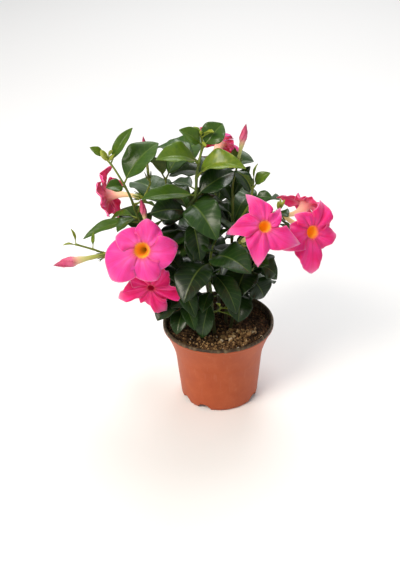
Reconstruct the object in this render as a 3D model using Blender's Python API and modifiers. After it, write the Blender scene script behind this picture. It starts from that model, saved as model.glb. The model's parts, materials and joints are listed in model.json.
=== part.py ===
"""A potted mandevilla: a plastic nursery pot, its potting mix, and a bushy vine with opposite
leaves, pink trumpet flowers and pointed buds.

The plant's tables are in millimetres and the meshes in metres. +Z is up, the front faces -Y,
and the origin is the centre of the pot's base. A leafy stem is one body with its side shoots,
leaves, flower stalks and small buds. Each open flower and each large bud is a body of its own.
"""
import math
import random

import bmesh
import bpy
from mathutils import Matrix, Vector, noise
from mathutils.bvhtree import BVHTree

MM = 0.001

# Pot
RIM_RADIUS = 65.0
POT_HEIGHT = 99.5
BASE_RADIUS = 46.0
WALL = 1.4
LIP_HEIGHT = 5.0
FLARE_FOOT = 56.0
FLARE_FOOT_RADIUS = 51.3
FLOOR_UNDERSIDE = 3.5
FLOOR_THICKNESS = 2.0
FOOT_WIDTH = 3.0
CENTRE_PAD_RADIUS = 13.0
NOTCH_TURNS = (-24, -59, 61, 96, 181, 216)
NOTCH_WIDTH = 16.0
NOTCH_HEIGHT = 7.0
POT_SIDES = 28

# Potting mix
SOIL_LEVEL = 90.0
SOIL_SIDES = 28
SOIL_RINGS = 4
CRUMB_SIZE = 9.0
CRUMB_HEIGHT = 1.6
CHIP_LENGTH = 6.5
CHIPS = 10
CHIP_PATCHES = [(12, -30, 9), (28, -22, 9)]  # x, y and how far the chips scatter
HOLE_SPARE = 0.9
HOLE_FLOOR = 77.0
GAP = 0.3
SOIL_SPARE = 1.1

# Leaves and stems
LEAF_THICKNESS = 0.8
LEAF_CLEARANCE = 2.2
SMALL_LEAF_WIDTH = 11.0
PETIOLE = 7.0
PETIOLE_WIDTH = 1.7
STEM_STEP = 27.0
STALK_RADIUS = 1.1

# Flowers, measured along and across their own axis
TUBE_RADIUS = 2.1
FOOT_BULGE = 0.8
MOUTH_RADIUS = 8.6
LIMB_RADIUS = 37.0
PETAL_THICKNESS = 0.8
PETAL_STEPS = 3
FUNNEL_ROWS = 4
SEPAL_LENGTH = 8.0
SEPAL_WIDTH = 1.9
BUD_FOOT = 0.42

# A stem is a list of points from the soil to the tip, and a station is a place along that
# list: 2.5 is halfway between points 2 and 3.
# leaves: station, tip, width, roll about its own length, arch, age from 0 (young) to 1 (old)
# pairs: first station, last station, how many opposite pairs, heading of the first, length
# shoots: station, points of a side shoot; a shoot's leaves follow it with the same entries
# stalks: station, points of a flower stalk, and the flower or bud that it carries
# small_buds: station, tip and radius
STEMS = {
    "stem_tall": {
        "points": [(-6, 6, 80), (-10, 6, 130), (-17, 4, 180), (-25, 0, 220), (-30, -5, 245),
                   (-22, -7, 262), (-20, -8, 286), (-16, -6, 305), (-13, -4, 318),
                   (-15, -2, 329)],
        "radius": (2.5, 1.0),
        "leaves": [
            (6.6, (-60, -30, 314), 31, -25, 0.16, 0.25),
            (6.7, (-62, 12, 311), 28, 0, 0.12, 0.45),
            (5.9, (31, -24, 300), 31, 25, 0.20, 0.15),
            (5.8, (8, 24, 292), 24, 0, 0.12, 0.7),
            (7.9, (-33, -14, 343), 19, -55, 0.10, 0.2),
            (7.6, (8, 6, 337), 25, 40, 0.10, 0.45),
            (8.6, (-1, -12, 335), 10, 0, 0.05, 0.0),
            (8.6, (-22, 4, 335), 7, 0, 0.05, 0.0),
            (5.0, (-76, -36, 274), 22, -20, 0.07, 0.4),
            (4.9, (20, 12, 281), 30, 25, 0.12, 0.8),
            (5.3, (-52, 26, 262), 22, 0, 0.10, 0.8),
            (4.4, (6, -4, 254), 15, 0, 0.12, 0.6),
            (4.3, (0, -60, 237), 35, 20, 0.20, 0.7),
            (3.4, (-18, -40, 200), 25, 0, 0.14, 0.95),
            (3.8, (-70, -22, 249), 27, -40, 0.12, 0.85),
            (3.1, (-26, -44, 205), 20, 0, 0.12, 0.9),
            (2.6, (-58, -26, 226), 24, 0, 0.12, 0.95),
            (3.5, (-60, 14, 230), 27, -40, 0.12, 0.95),
        ],
        "pairs": (1.3, 3.7, 4, 60, 70),
        "small_buds": [(8.9, (-14, -9, 335), 1.6), (8.2, (-9, -16, 321), 1.6)],
    },
    "stem_left": {
        "points": [(-20, 2, 80), (-34, 2, 130), (-56, 2, 180), (-76, 1, 212), (-86, 0, 235),
                   (-93, -4, 263), (-106, -6, 293), (-114, -8, 306)],
        "radius": (2.2, 0.9),
        "leaves": [
            (5.4, (-61, 16, 314), 34, 20, 0.14, 0.35),
            (5.3, (-114, -24, 281), 15, -45, 0.10, 0.3),
            (6.4, (-86, 2, 336), 13, 40, 0.10, 0.3),
            (6.9, (-129, -12, 321), 10, -50, 0.05, 0.2),
            (6.9, (-112, -26, 325), 5, 0, 0.05, 0.0),
            (3.9, (-119, 8, 227), 16, 0, 0.16, 0.3),
            (3.7, (-149, -14, 222), 16, -15, 0.10, 0.25),
            (3.9, (-106, -30, 233), 14, 0, 0.10, 0.35),
            (4.6, (-64, -12, 252), 15, -30, 0.10, 0.3),
        ],
        "pairs": (1.3, 3.0, 2, 60, 62),
        "small_buds": [(6.9, (-117, -20, 321), 3.0), (6.7, (-104, -14, 314), 1.8)],
        "stalks": [(4.5, [(-82, 2, 252)], "bloom_left"),
                   (4.1, [(-80, 10, 250)], "bud_upright"),
                   (2.4, [], "bloom_low")],
    },
    "stem_left_front": {
        "points": [(-16, -12, 80), (-28, -15, 120), (-42, -16, 155), (-54, -14, 183),
                   (-64, -14, 200), (-71, -12, 212)],
        "radius": (2.0, 1.2),
        "leaves": [
            (2.9, (-41, -58, 184), 25, 0, 0.12, 0.9),
            (2.2, (-62, -44, 128), 25, 0, 0.14, 0.9),
            (4.9, (-52, -24, 246), 16, 0, 0.10, 0.5),
            (3.6, (-39, -42, 178), 20, 0, 0.12, 0.9),
        ],
        "pairs": (1.4, 3.5, 2, 150, 52),
        "shoots": [(4.0, [(-84, -16, 205), (-102, -19, 202), (-120, -22, 202),
                          (-136, -28, 211), (-151, -36, 221)],
                    [(4.9, (-154, -33, 238), 4, 0, 0.05, 0.0),
                     (4.9, (-162, -46, 226), 4, 0, 0.05, 0.0),
                     (3.9, (-131, -18, 228), 5, 0, 0.05, 0.1),
                     (2.0, (-131, -12, 187), 10, 0, 0.10, 0.7)])],
        "stalks": [(4.5, [(-76, -19, 208)], "bloom_front"),
                   (5.0, [], "bud_striped"),
                   ((0, 2.6), [(-118, -23, 200)], "bud_far_left")],
    },
    "stem_front": {
        "points": [(-4, -16, 80), (-6, -18, 118), (-8, -22, 152), (-8, -26, 184),
                   (-6, -30, 208)],
        "radius": (2.2, 1.2),
        "leaves": [
            (3.4, (34, -76, 206), 36, 15, 0.16, 0.75),
            (3.2, (-36, -80, 174), 38, 0, 0.18, 0.95),
            (2.8, (20, -66, 150), 26, 0, 0.16, 0.9),
            (1.7, (-19, -44, 103), 22, 0, 0.12, 0.7),
            (2.0, (-17, -56, 146), 15, 0, 0.12, 0.8),
            (3.9, (-24, -42, 219), 16, 0, 0.10, 0.7),
            (3.9, (13, -34, 235), 16, 0, 0.10, 0.6),
        ],
        "pairs": (1.7, 3.4, 3, 15, 54),
        "shoots": [(1.1, [(0, -23, 126), (4, -26, 133)],
                    [(1.7, (14, -30, 132), 6, 0, 0.05, 0.0),
                     (1.7, (-2, -34, 143), 5, 0, 0.05, 0.0),
                     (0.9, (23, -20, 110), 6, 0, 0.08, 0.1)])],
    },
    "stem_low_left": {
        "points": [(-22, -6, 80), (-34, -12, 112), (-43, -18, 143), (-46, -20, 168),
                   (-44, -16, 190)],
        "radius": (2.0, 1.2),
        "leaves": [
            (1.8, (-68, -42, 127), 27, 0, 0.12, 0.9),
            (1.5, (-47, -48, 112), 19, 0, 0.12, 0.8),
            (1.8, (-26, -52, 120), 16, 0, 0.12, 0.7),
            (2.9, (-33, -72, 152), 21, 0, 0.14, 0.9),
            (2.6, (-92, -20, 158), 24, 0, 0.12, 0.95),
            (3.7, (-76, -6, 176), 21, 0, 0.12, 0.9),
        ],
        "pairs": (2.2, 3.6, 2, 150, 50),
    },
    "stem_low_right": {
        "points": [(12, -6, 80), (18, -9, 112), (25, -12, 142), (35, -12, 166), (45, -10, 184)],
        "radius": (2.0, 1.1),
        "leaves": [
            (2.9, (52, -22, 142), 32, 20, 0.14, 0.95),
            (3.6, (65, -14, 167), 23, 35, 0.14, 0.85),
            (2.0, (33, -24, 133), 17, 0, 0.12, 0.8),
            (3.7, (40, -30, 206), 19, 0, 0.12, 0.7),
            (1.9, (54, 2, 140), 22, 0, 0.12, 0.9),
            (3.0, (58, 20, 186), 21, 0, 0.12, 0.9),
        ],
        "pairs": (2.2, 3.3, 2, 75, 50),
    },
    "stem_mid_right": {
        "points": [(8, 8, 80), (12, 10, 130), (16, 10, 180), (18, 10, 232), (18, 12, 260),
                   (22, 14, 281)],
        "radius": (2.2, 1.0),
        "leaves": [
            (2.9, (-3, 26, 238), 16, 0, 0.10, 0.7),
            (3.2, (7, 30, 258), 18, 0, 0.10, 0.6),
            (3.4, (38, 26, 283), 18, 0, 0.10, 0.6),
            (2.7, (-32, 20, 229), 25, 0, 0.12, 0.9),
            (2.4, (24, 30, 250), 25, 0, 0.12, 0.9),
        ],
        "pairs": (1.2, 2.6, 3, 75, 66),
        "shoots": [(2.5, [(25, 4, 226), (34, -2, 244), (38, -4, 257), (40, -4, 276)],
                    [(2.9, (22, 8, 286), 22, 0, 0.12, 0.8),
                     (3.5, (57, -8, 287), 14, 45, 0.08, 0.15),
                     (3.4, (23, -16, 293), 14, 0, 0.08, 0.4),
                     (2.9, (59, -12, 261), 13, 45, 0.10, 0.5),
                     (3.9, (44, -2, 295), 4, 0, 0.05, 0.0),
                     (1.8, (52, -22, 235), 15, 0, 0.10, 0.7)])],
        "stalks": [(4.9, [(23, 14, 285)], "bud_top")],
    },
    "stem_right": {
        "points": [(20, 4, 80), (27, 2, 125), (36, -2, 172), (48, -4, 206), (60, -5, 230),
                   (68, -6, 243)],
        "radius": (2.0, 1.1),
        "leaves": [
            (4.4, (86, -16, 233), 16, 0, 0.12, 0.8),
            (4.2, (84, 4, 212), 16, 0, 0.12, 0.85),
            (3.6, (80, 18, 226), 18, 0, 0.12, 0.8),
        ],
        "pairs": (1.9, 2.9, 2, 65, 54),
        "small_buds": [(4.9, (66, -12, 256), 1.7), (4.9, (74, -6, 255), 1.6),
                       (4.9, (70, 0, 254), 1.4)],
        "stalks": [(2.9, [(38, -10, 202)], "bloom_right"),
                   (4.7, [(66, -10, 240)], "bloom_far_right"),
                   (4.6, [(68, 0, 238)], "bloom_right_back")],
    },
    "stem_back_left": {
        "points": [(-16, 16, 80), (-30, 28, 125), (-44, 40, 175), (-53, 48, 220),
                   (-57, 52, 258)],
        "radius": (2.2, 1.0),
        "pairs": (1.0, 3.9, 4, 130, 82),
    },
    "stem_back": {
        "points": [(0, 22, 80), (2, 38, 125), (4, 50, 180), (0, 54, 230), (-6, 50, 268)],
        "radius": (2.2, 1.0),
        "pairs": (1.0, 3.6, 4, 80, 76),
        "stalks": [(3.8, [(-12, 40, 262)], "bloom_back")],
    },
    "stem_back_right": {
        "points": [(18, 18, 80), (30, 34, 125), (40, 46, 175), (48, 50, 218)],
        "radius": (2.0, 1.0),
        "pairs": (0.9, 2.9, 4, 58, 54),
    },
}

# mouth and foot: the centre of the flower's mouth and the end of its tube
# facing: the way the mouth looks; spin: the first petal's turn; size: against the usual flower
# throat: how wide the mouth is against the usual; point: from round petals (0) to pointed (1)
# petals: each one's reach, how far its tip bends back, and how much it narrows outwards
BLOOMS = {
    "bloom_front": {"mouth": (-78, -60, 225), "foot": (-77, -24, 207),
                    "facing": (0.02, -0.89, 0.45), "spin": 55, "size": 1.0, "throat": 1.0,
                    "point": 0.12, "petals": ((0.86, 2, 0), (0.80, 4, 0), (1.18, 3, 0),
                                              (0.90, 4, 0), (0.97, 3, 0))},
    "bloom_low": {"mouth": (-72, -49, 173), "foot": (-69, -9, 184),
                  "facing": (-0.12, -0.97, -0.16), "spin": 49, "size": 1.14, "throat": 0.4,
                  "point": 0.7, "petals": ((0.80, 2, 0), (0.72, 2, 0), (1.0, 2, 0.5),
                                           (0.84, 3, 0), (0.90, 3, 0.15))},
    "bloom_left": {"mouth": (-120, 25, 250), "foot": (-86, 17, 251),
                   "facing": (-0.95, 0.22, -0.22), "spin": 20, "size": 0.94, "throat": 0.9,
                   "point": 0.7, "petals": ((0.95, 4, 0), (0.85, 5, 0), (0.95, 4, 0.1),
                                            (0.92, 5, 0), (0.80, 5, 0))},
    "bloom_back": {"mouth": (7, 60, 296), "foot": (-7, 42, 275),
                   "facing": (0.50, 0.66, 0.56), "spin": 30, "size": 0.85, "throat": 0.9,
                   "point": 0.5, "petals": ((0.90, 3, 0), (1.08, 3, 0), (0.70, 4, 0),
                                            (0.75, 3, 0), (0.85, 4, 0))},
    "bloom_right": {"mouth": (50, -50, 245), "foot": (27, -29, 217),
                    "facing": (0.12, -0.86, 0.50), "spin": 91, "size": 0.97, "throat": 0.78,
                    "point": 0.9, "petals": ((0.97, 4, 0.1), (1.0, 6, 0.12), (1.06, 4, 0.08),
                                             (1.08, 3, 0), (0.64, 3, 0.1))},
    "bloom_far_right": {"mouth": (103, -22, 223), "foot": (72, -7, 237),
                        "facing": (0.45, -0.82, 0.36), "spin": 101, "size": 1.06,
                        "throat": 0.8, "point": 0.45,
                        "petals": ((0.66, 2, 0), (0.88, 3, 0), (1.10, 3, 0.25), (0.76, 3, 0),
                                   (0.88, 3, 0))},
    "bloom_right_back": {"mouth": (99, 20, 236), "foot": (67, 10, 229),
                         "facing": (0.47, 0.73, 0.54), "spin": 350, "size": 0.88,
                         "throat": 0.9, "point": 0.8,
                         "petals": ((0.95, 3, 0), (0.60, 4, 0), (0.78, 4, 0), (1.0, 3, 0),
                                    (0.75, 4, 0))},
}

# root and tip of each large bud, and its radius
BUDS = {
    "bud_far_left": ((-124, -26, 202), (-176, -44, 200), 5.6),
    "bud_upright": ((-73, 21, 272), (-77, 26, 318), 3.4),
    "bud_top": ((24, 14, 290), (33, 16, 333), 4.0),
    "bud_striped": ((-74, -13, 222), (-80, -17, 264), 3.6),
}

COLOURS = {
    "pot": ("B3593A", 0.45),
    "soil": ("3A2A20", 0.95),
    "stem": ("3F6B2C", 0.45),
    "bloom": ("EE3A84", 0.5),
    "bud": ("E7B0A0", 0.5),
}


def clear_scene():
    for thing in list(bpy.data.objects):
        bpy.data.objects.remove(thing, do_unlink=True)


def new_collection(name):
    group = bpy.data.collections.new(name)
    bpy.context.scene.collection.children.link(group)
    return group


def linear(hex_colour):
    """An sRGB hex colour as linear red, green, blue and alpha."""
    channels = [int(hex_colour[i:i + 2], 16) / 255 for i in (0, 2, 4)]
    return [c / 12.92 if c <= 0.04045 else ((c + 0.055) / 1.055) ** 2.4 for c in channels] + [1]


def material(node, finish):
    colour, roughness = COLOURS[finish]
    made = bpy.data.materials.new(node)
    made.use_nodes = True
    shader = made.node_tree.nodes["Principled BSDF"]
    shader.inputs["Base Color"].default_value = linear(colour)
    shader.inputs["Roughness"].default_value = roughness
    return made


def object_from_bmesh(name, bm, group):
    mesh = bpy.data.meshes.new(name)
    bm.to_mesh(mesh)
    bm.free()
    made = bpy.data.objects.new(name, mesh)
    group.objects.link(made)
    return made


def frozen(thing, name, group):
    """A plain mesh of what the modifiers make of the object, which is then removed."""
    bpy.context.view_layer.update()
    seen = thing.evaluated_get(bpy.context.evaluated_depsgraph_get())
    mesh = bpy.data.meshes.new_from_object(seen)
    mesh.transform(thing.matrix_world)
    mesh.name = name
    bpy.data.objects.remove(thing, do_unlink=True)
    made = bpy.data.objects.new(name, mesh)
    group.objects.link(made)
    return made


def finish(node, thing, kind, smooth=True):
    """Names the finished piece and gives it its material."""
    thing.name = node
    thing.data.name = node
    thing.data.materials.clear()
    thing.data.materials.append(material(node, kind))
    if smooth:
        thing.data.shade_smooth()
        thing.data.set_sharp_from_angle(angle=math.radians(50))
    return thing


def boolean(thing, name, operation, group):
    """The object joined with, or cut by, every object of a collection, which is then emptied."""
    change = thing.modifiers.new(operation.lower(), "BOOLEAN")
    change.operand_type = "COLLECTION"
    change.collection = group
    change.operation = operation
    change.solver = "EXACT"
    home = thing.users_collection[0]
    made = frozen(thing, name, home)
    for used in list(group.objects):
        bpy.data.objects.remove(used, do_unlink=True)
    bpy.data.collections.remove(group)
    return made


def turned(name, profile, steps, group):
    """A turned shape: the profile's points are radius and height in millimetres."""
    bm = bmesh.new()
    points = [bm.verts.new((radius * MM, 0, height * MM)) for radius, height in profile]
    for low, high in zip(points, points[1:]):
        bm.edges.new((low, high))
    made = object_from_bmesh(name, bm, group)
    screw = made.modifiers.new("turn", "SCREW")
    screw.steps = steps
    screw.render_steps = steps
    screw.use_merge_vertices = True
    screw.merge_threshold = 0.00001
    return made


def wall_radius(height):
    """The outside of the pot's wall: a slight taper, then a flare that ends under the lip."""
    if height < FLARE_FOOT:
        return BASE_RADIUS + (FLARE_FOOT_RADIUS - BASE_RADIUS) * height / FLARE_FOOT
    share = (height - FLARE_FOOT) / (POT_HEIGHT - LIP_HEIGHT - FLARE_FOOT)
    return FLARE_FOOT_RADIUS + (RIM_RADIUS - 0.9 - FLARE_FOOT_RADIUS) * math.sin(
        math.pi / 2 * share ** 1.15)


def flare_heights():
    """Heights from the top of the flare down to its foot."""
    top = POT_HEIGHT - LIP_HEIGHT - 0.6
    return [top + (FLARE_FOOT - top) * step / 4 for step in range(5)]


def pot(group):
    """A nursery pot with a rolled lip, a flared collar, a notched foot and a centre pad."""
    floor = FLOOR_UNDERSIDE + FLOOR_THICKNESS
    lip = [
        (RIM_RADIUS - 3.4, POT_HEIGHT - 0.8), (RIM_RADIUS - 2.2, POT_HEIGHT),
        (RIM_RADIUS - 0.7, POT_HEIGHT - 0.5), (RIM_RADIUS, POT_HEIGHT - 2.0),
        (RIM_RADIUS - 0.1, POT_HEIGHT - LIP_HEIGHT),
    ]
    outer = [(wall_radius(height), height) for height in flare_heights() + [3.0]]
    underside = [
        (BASE_RADIUS - 1.6, 0), (BASE_RADIUS - FOOT_WIDTH, 0),
        (BASE_RADIUS - FOOT_WIDTH, FLOOR_UNDERSIDE),
        (CENTRE_PAD_RADIUS + 2, FLOOR_UNDERSIDE), (CENTRE_PAD_RADIUS, 0), (0, 0),
    ]
    inner = [(0, floor)] + [(wall_radius(height) - WALL, height)
                            for height in [floor] + flare_heights()[::-2]]
    body = turned("pot", inner + lip + outer + underside, POT_SIDES, group)
    cutters = new_collection("notch_cutters")
    for degrees in NOTCH_TURNS:
        turn = math.radians(degrees - 90)
        bm = bmesh.new()
        bmesh.ops.create_cone(bm, cap_ends=True, segments=8, radius1=MM, radius2=MM,
                              depth=14 * MM)
        bmesh.ops.rotate(bm, matrix=Matrix.Rotation(math.pi / 2, 3, "Y"), verts=bm.verts)
        bmesh.ops.scale(bm, vec=(1, NOTCH_WIDTH / 2, NOTCH_HEIGHT), verts=bm.verts)
        notch = object_from_bmesh("notch", bm, cutters)
        reach = (BASE_RADIUS - 1.0) * MM
        notch.location = (reach * math.cos(turn), reach * math.sin(turn), 0)
        notch.rotation_euler = (0, 0, turn)
    return finish("pot", boolean(body, "pot", "DIFFERENCE", cutters), "pot")


def soil_height(x, y):
    """The mix's surface: crumbs of two sizes, a little lower in the middle."""
    place = Vector((x, y, 0))
    crumbs = noise.noise(place / CRUMB_SIZE) + 0.5 * noise.noise(place / (0.45 * CRUMB_SIZE))
    return SOIL_LEVEL + CRUMB_HEIGHT * crumbs + 1.2 * math.hypot(x, y) / RIM_RADIUS


def soil(group):
    """The potting mix with its crumbled top, light chips, and a plain hole for each stem."""
    spare = WALL + SOIL_SPARE
    floor = FLOOR_UNDERSIDE + FLOOR_THICKNESS + GAP
    edge = wall_radius(SOIL_LEVEL) - spare
    top = [(edge * ring / SOIL_RINGS, SOIL_LEVEL) for ring in range(SOIL_RINGS)]
    heights = flare_heights()[2::2]
    side = [(edge, SOIL_LEVEL)] + [(wall_radius(height) - spare, height)
                                   for height in heights + [floor]] + [(0, floor)]
    body = frozen(turned("soil", top + side, SOIL_SIDES, group), "soil", group)
    for vertex in body.data.vertices:
        x, y, z = vertex.co / MM
        if z > SOIL_LEVEL - 0.1:
            vertex.co.z = soil_height(x, y) * MM
    chips = new_collection("chips")
    draw = random.Random(5)
    for number in range(CHIPS):
        x, y, spread = CHIP_PATCHES[number % len(CHIP_PATCHES)]
        x += draw.uniform(-spread, spread)
        y += draw.uniform(-spread, spread)
        length = CHIP_LENGTH * draw.uniform(0.7, 1.1)
        bm = bmesh.new()
        bmesh.ops.create_cube(bm, size=MM)
        bmesh.ops.scale(bm, vec=(length, 0.6 * length, 0.5 * length), verts=bm.verts)
        turn = Matrix.Rotation(draw.uniform(0, math.pi), 4, "Z")
        tip = Matrix.Rotation(draw.uniform(-0.5, 0.5), 4, "X")
        place = Matrix.Translation(Vector((x, y, soil_height(x, y) + 0.1 * length)) * MM)
        bmesh.ops.transform(bm, matrix=place @ turn @ tip, verts=bm.verts)
        object_from_bmesh("chip", bm, chips)
    body = boolean(body, "soil", "UNION", chips)
    holes = new_collection("hole_cutters")
    for plan in STEMS.values():
        radius = plan["radius"][0] + HOLE_SPARE
        start, above = Vector(plan["points"][0]), Vector(plan["points"][1])
        lean = (above - start).normalized()
        bm = bmesh.new()
        bmesh.ops.create_cone(bm, cap_ends=True, segments=6, radius1=radius * MM,
                              radius2=radius * MM, depth=40 * MM)
        low = start + lean * (HOLE_FLOOR - start.z + 20)
        turn = lean.to_track_quat("Z", "Y").to_matrix().to_4x4()
        bmesh.ops.transform(bm, matrix=Matrix.Translation(low * MM) @ turn, verts=bm.verts)
        object_from_bmesh("hole", bm, holes)
    return finish("soil", boolean(body, "soil", "DIFFERENCE", holes), "soil", smooth=False)


def along(points, station):
    """The point at a station of a smooth curve through the points."""
    last = len(points) - 1
    step = min(int(station), last - 1)
    part = station - step
    before, start, end, after = (Vector(points[min(max(step + i, 0), last)])
                                 for i in (-1, 0, 1, 2))
    return (start + 0.5 * part * (end - before
            + part * (2 * before - 5 * start + 4 * end - after
                      + part * (3 * (start - end) + after - before))))


def smooth_line(points):
    """Points at even stations of the smooth curve through a stem's points."""
    length = sum((Vector(b) - Vector(a)).length for a, b in zip(points, points[1:]))
    steps = max(2, round(length / STEM_STEP))
    return [along(points, (len(points) - 1) * step / steps) for step in range(steps + 1)]


def tube(name, line, radii, extra_sides, group):
    """A stem with four sides or more through the points of a line, with a radius at each."""
    curve = bpy.data.curves.new(name, "CURVE")
    curve.dimensions = "3D"
    curve.bevel_depth = MM
    curve.bevel_resolution = extra_sides // 2
    curve.use_fill_caps = True
    spline = curve.splines.new("POLY")
    spline.points.add(len(line) - 1)
    for point, place, radius in zip(spline.points, line, radii):
        point.co = (*(place * MM), 1)
        point.radius = radius
    made = bpy.data.objects.new(name, curve)
    group.objects.link(made)
    made = frozen(made, name, group)
    bm = bmesh.new()
    bm.from_mesh(made.data)
    bmesh.ops.remove_doubles(bm, verts=bm.verts, dist=0.000001)
    bm.to_mesh(made.data)
    bm.free()
    return made


def grid(bm, across, rows, shape):
    """A grid of faces laid on the surface shape(u, v), with u and v from 0 to 1."""
    new = bmesh.ops.create_grid(bm, x_segments=across, y_segments=rows, size=0.5)["verts"]
    for vertex in new:
        vertex.co = shape(vertex.co.x + 0.5, vertex.co.y + 0.5)


def sheet(bm, thickness):
    """Splits the grid into triangles and gives it a thickness."""
    bmesh.ops.remove_doubles(bm, verts=bm.verts, dist=0.00001)
    bmesh.ops.triangulate(bm, faces=bm.faces)
    made = bpy.data.meshes.new("sheet")
    bm.to_mesh(made)
    bm.free()
    return made, thickness * MM


def leaf_surface(leaf, u, v):
    """A point of a leaf in metres: u runs across it, v along the petiole and the blade."""
    side = 2 * u - 1
    petiole_rows = 1 / leaf_rows(leaf)
    petiole_share = min(0.3, PETIOLE / leaf["length"])
    if v <= petiole_rows:
        share = petiole_share * v / petiole_rows
        half = PETIOLE_WIDTH / 2
    else:
        blade = (v - petiole_rows) / (1 - petiole_rows)
        share = petiole_share + (1 - petiole_share) * blade
        outline = blade ** 0.78 * max(0.0, 1 - blade) ** 0.92 / 0.3097
        half = max(PETIOLE_WIDTH / 2 * (1 - blade), leaf["width"] / 2 * outline)
    rise = leaf["arch"] * leaf["length"] * 4 * share * (1 - share)
    fold = half * (0.42 * abs(side) - 0.16 * side * side)
    return leaf["place"] @ (Vector((side * half, share * leaf["length"], rise + fold)) * MM)


def leaf_rows(leaf):
    """One row of faces for the petiole, and fewer for the blade of a small leaf."""
    return 3 if leaf["width"] < SMALL_LEAF_WIDTH else 4


def leaf_placed(leaf, lift, swing, stretch):
    """The leaf turned about its root by a lift and a swing in degrees."""
    reach = leaf["tip"] - leaf["root"]
    chord = reach.normalized()
    upward = Vector((0, 0, 1)) - chord * chord.z
    if upward.length < 0.05:
        upward = Vector((0, -1, 0))
    upward = (upward - chord * upward.dot(chord)).normalized()
    upward = Matrix.Rotation(math.radians(leaf["roll"]), 3, chord) @ upward
    across = chord.cross(upward)
    turn = (Matrix.Rotation(math.radians(lift), 3, across)
            @ Matrix.Rotation(math.radians(swing), 3, upward))
    columns = Matrix((turn @ across, turn @ chord, turn @ upward)).transposed().to_4x4()
    placed = dict(leaf)
    placed["length"] = reach.length * stretch
    placed["width"] = leaf["width"] * stretch
    placed["place"] = Matrix.Translation(leaf["root"] * MM) @ columns
    return placed


def leaf_tree(leaf, thickness, from_blade=False):
    """The leaf's coarse surface for the test of what it would cross."""
    rows = leaf_rows(leaf)
    start = 1 / rows if from_blade else 0
    bm = bmesh.new()
    grid(bm, 2, rows, lambda u, v: leaf_surface(leaf, u, start + (1 - start) * v))
    bmesh.ops.remove_doubles(bm, verts=bm.verts, dist=0.00001)
    bmesh.ops.triangulate(bm, faces=bm.faces)
    if thickness:
        bmesh.ops.translate(bm, vec=leaf["place"].to_3x3().col[2] * thickness * MM / 2,
                            verts=bm.verts)
        bmesh.ops.solidify(bm, geom=bm.faces, thickness=thickness * MM)
    tree = BVHTree.FromBMesh(bm)
    bm.free()
    return tree


def object_tree(thing):
    bm = bmesh.new()
    bm.from_mesh(thing.data)
    tree = BVHTree.FromBMesh(bm)
    bm.free()
    return tree


def nudges():
    """Lifts, swings and stretches to try in turn, the smallest first."""
    yield 0, 0, 1.0
    for size in (6, 12, 18, 26, 35):
        for lift, swing in ((1, 0), (0, 1), (0, -1), (-1, 0), (1, 1), (1, -1), (-1, 1),
                            (-1, -1)):
            yield lift * size, swing * size, 1.0 - size / 180


def settle(leaf, taken):
    """The leaf in the first place where it crosses nothing; None where there is none."""
    for lift, swing, stretch in nudges():
        placed = leaf_placed(leaf, lift, swing, stretch)
        whole = leaf_tree(placed, LEAF_CLEARANCE)
        blade = leaf_tree(placed, LEAF_CLEARANCE, from_blade=True)
        if not any((blade if owner == leaf["stem"] else whole).overlap(tree)
                   for owner, tree in taken):
            taken.append((leaf["stem"], leaf_tree(placed, 0)))
            return placed
    return None


def stem_leaves(stem, plan, shoots):
    """The leaves that the table gives a stem, its side shoots' leaves, and its pairs."""
    leaves = []
    lines = [(plan["points"], plan.get("leaves", []))] + shoots
    for points, entries in lines:
        for station, tip, width, roll, arch, age in entries:
            leaves.append({"stem": stem, "root": along(points, station), "tip": Vector(tip),
                           "width": width, "roll": roll, "arch": arch, "age": age})
    return leaves


def stem_pairs(stem, plan, draw):
    """Opposite pairs, each turned a right angle from the last; old leaves droop."""
    leaves = []
    if "pairs" not in plan:
        return leaves
    first, last, count, heading, length = plan["pairs"]
    for number in range(count):
        share = number / max(1, count - 1)
        root = along(plan["points"], first + (last - first) * share)
        for side in (0, 180):
            turn = math.radians(heading + 90 * number + side + draw.uniform(-14, 14))
            rise = math.radians(-12 + 45 * share + draw.uniform(-8, 8))
            reach = length * (1 - 0.25 * share) * draw.uniform(0.9, 1.08)
            tip = root + reach * Vector((math.cos(rise) * math.cos(turn),
                                         math.cos(rise) * math.sin(turn), math.sin(rise)))
            leaves.append({"stem": stem, "root": root, "tip": tip, "width": 0.66 * reach,
                           "roll": draw.uniform(-12, 12), "arch": 0.13,
                           "age": 0.95 - 0.45 * share})
    return leaves


def leaf(leaf_plan, group):
    """A blade on its petiole, folded along the midrib and arched along its length."""
    bm = bmesh.new()
    grid(bm, 2, leaf_rows(leaf_plan), lambda u, v: leaf_surface(leaf_plan, u, v))
    mesh, thickness = sheet(bm, LEAF_THICKNESS)
    made = bpy.data.objects.new("leaf", mesh)
    group.objects.link(made)
    solid = made.modifiers.new("thickness", "SOLIDIFY")
    solid.thickness = thickness
    solid.offset = 0
    return made


def bloom_axes(bloom):
    """The way the flower looks, and its right and its upward direction across that."""
    out = Vector(bloom["facing"]).normalized()
    right = Vector((0, 0, 1)).cross(out).normalized()
    return out, right, out.cross(right)


def tube_bend(bloom):
    """The point that the flower's curved tube steers by."""
    mouth, foot = Vector(bloom["mouth"]), Vector(bloom["foot"])
    return mouth - Vector(bloom["facing"]).normalized() * 0.5 * (mouth - foot).length


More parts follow.
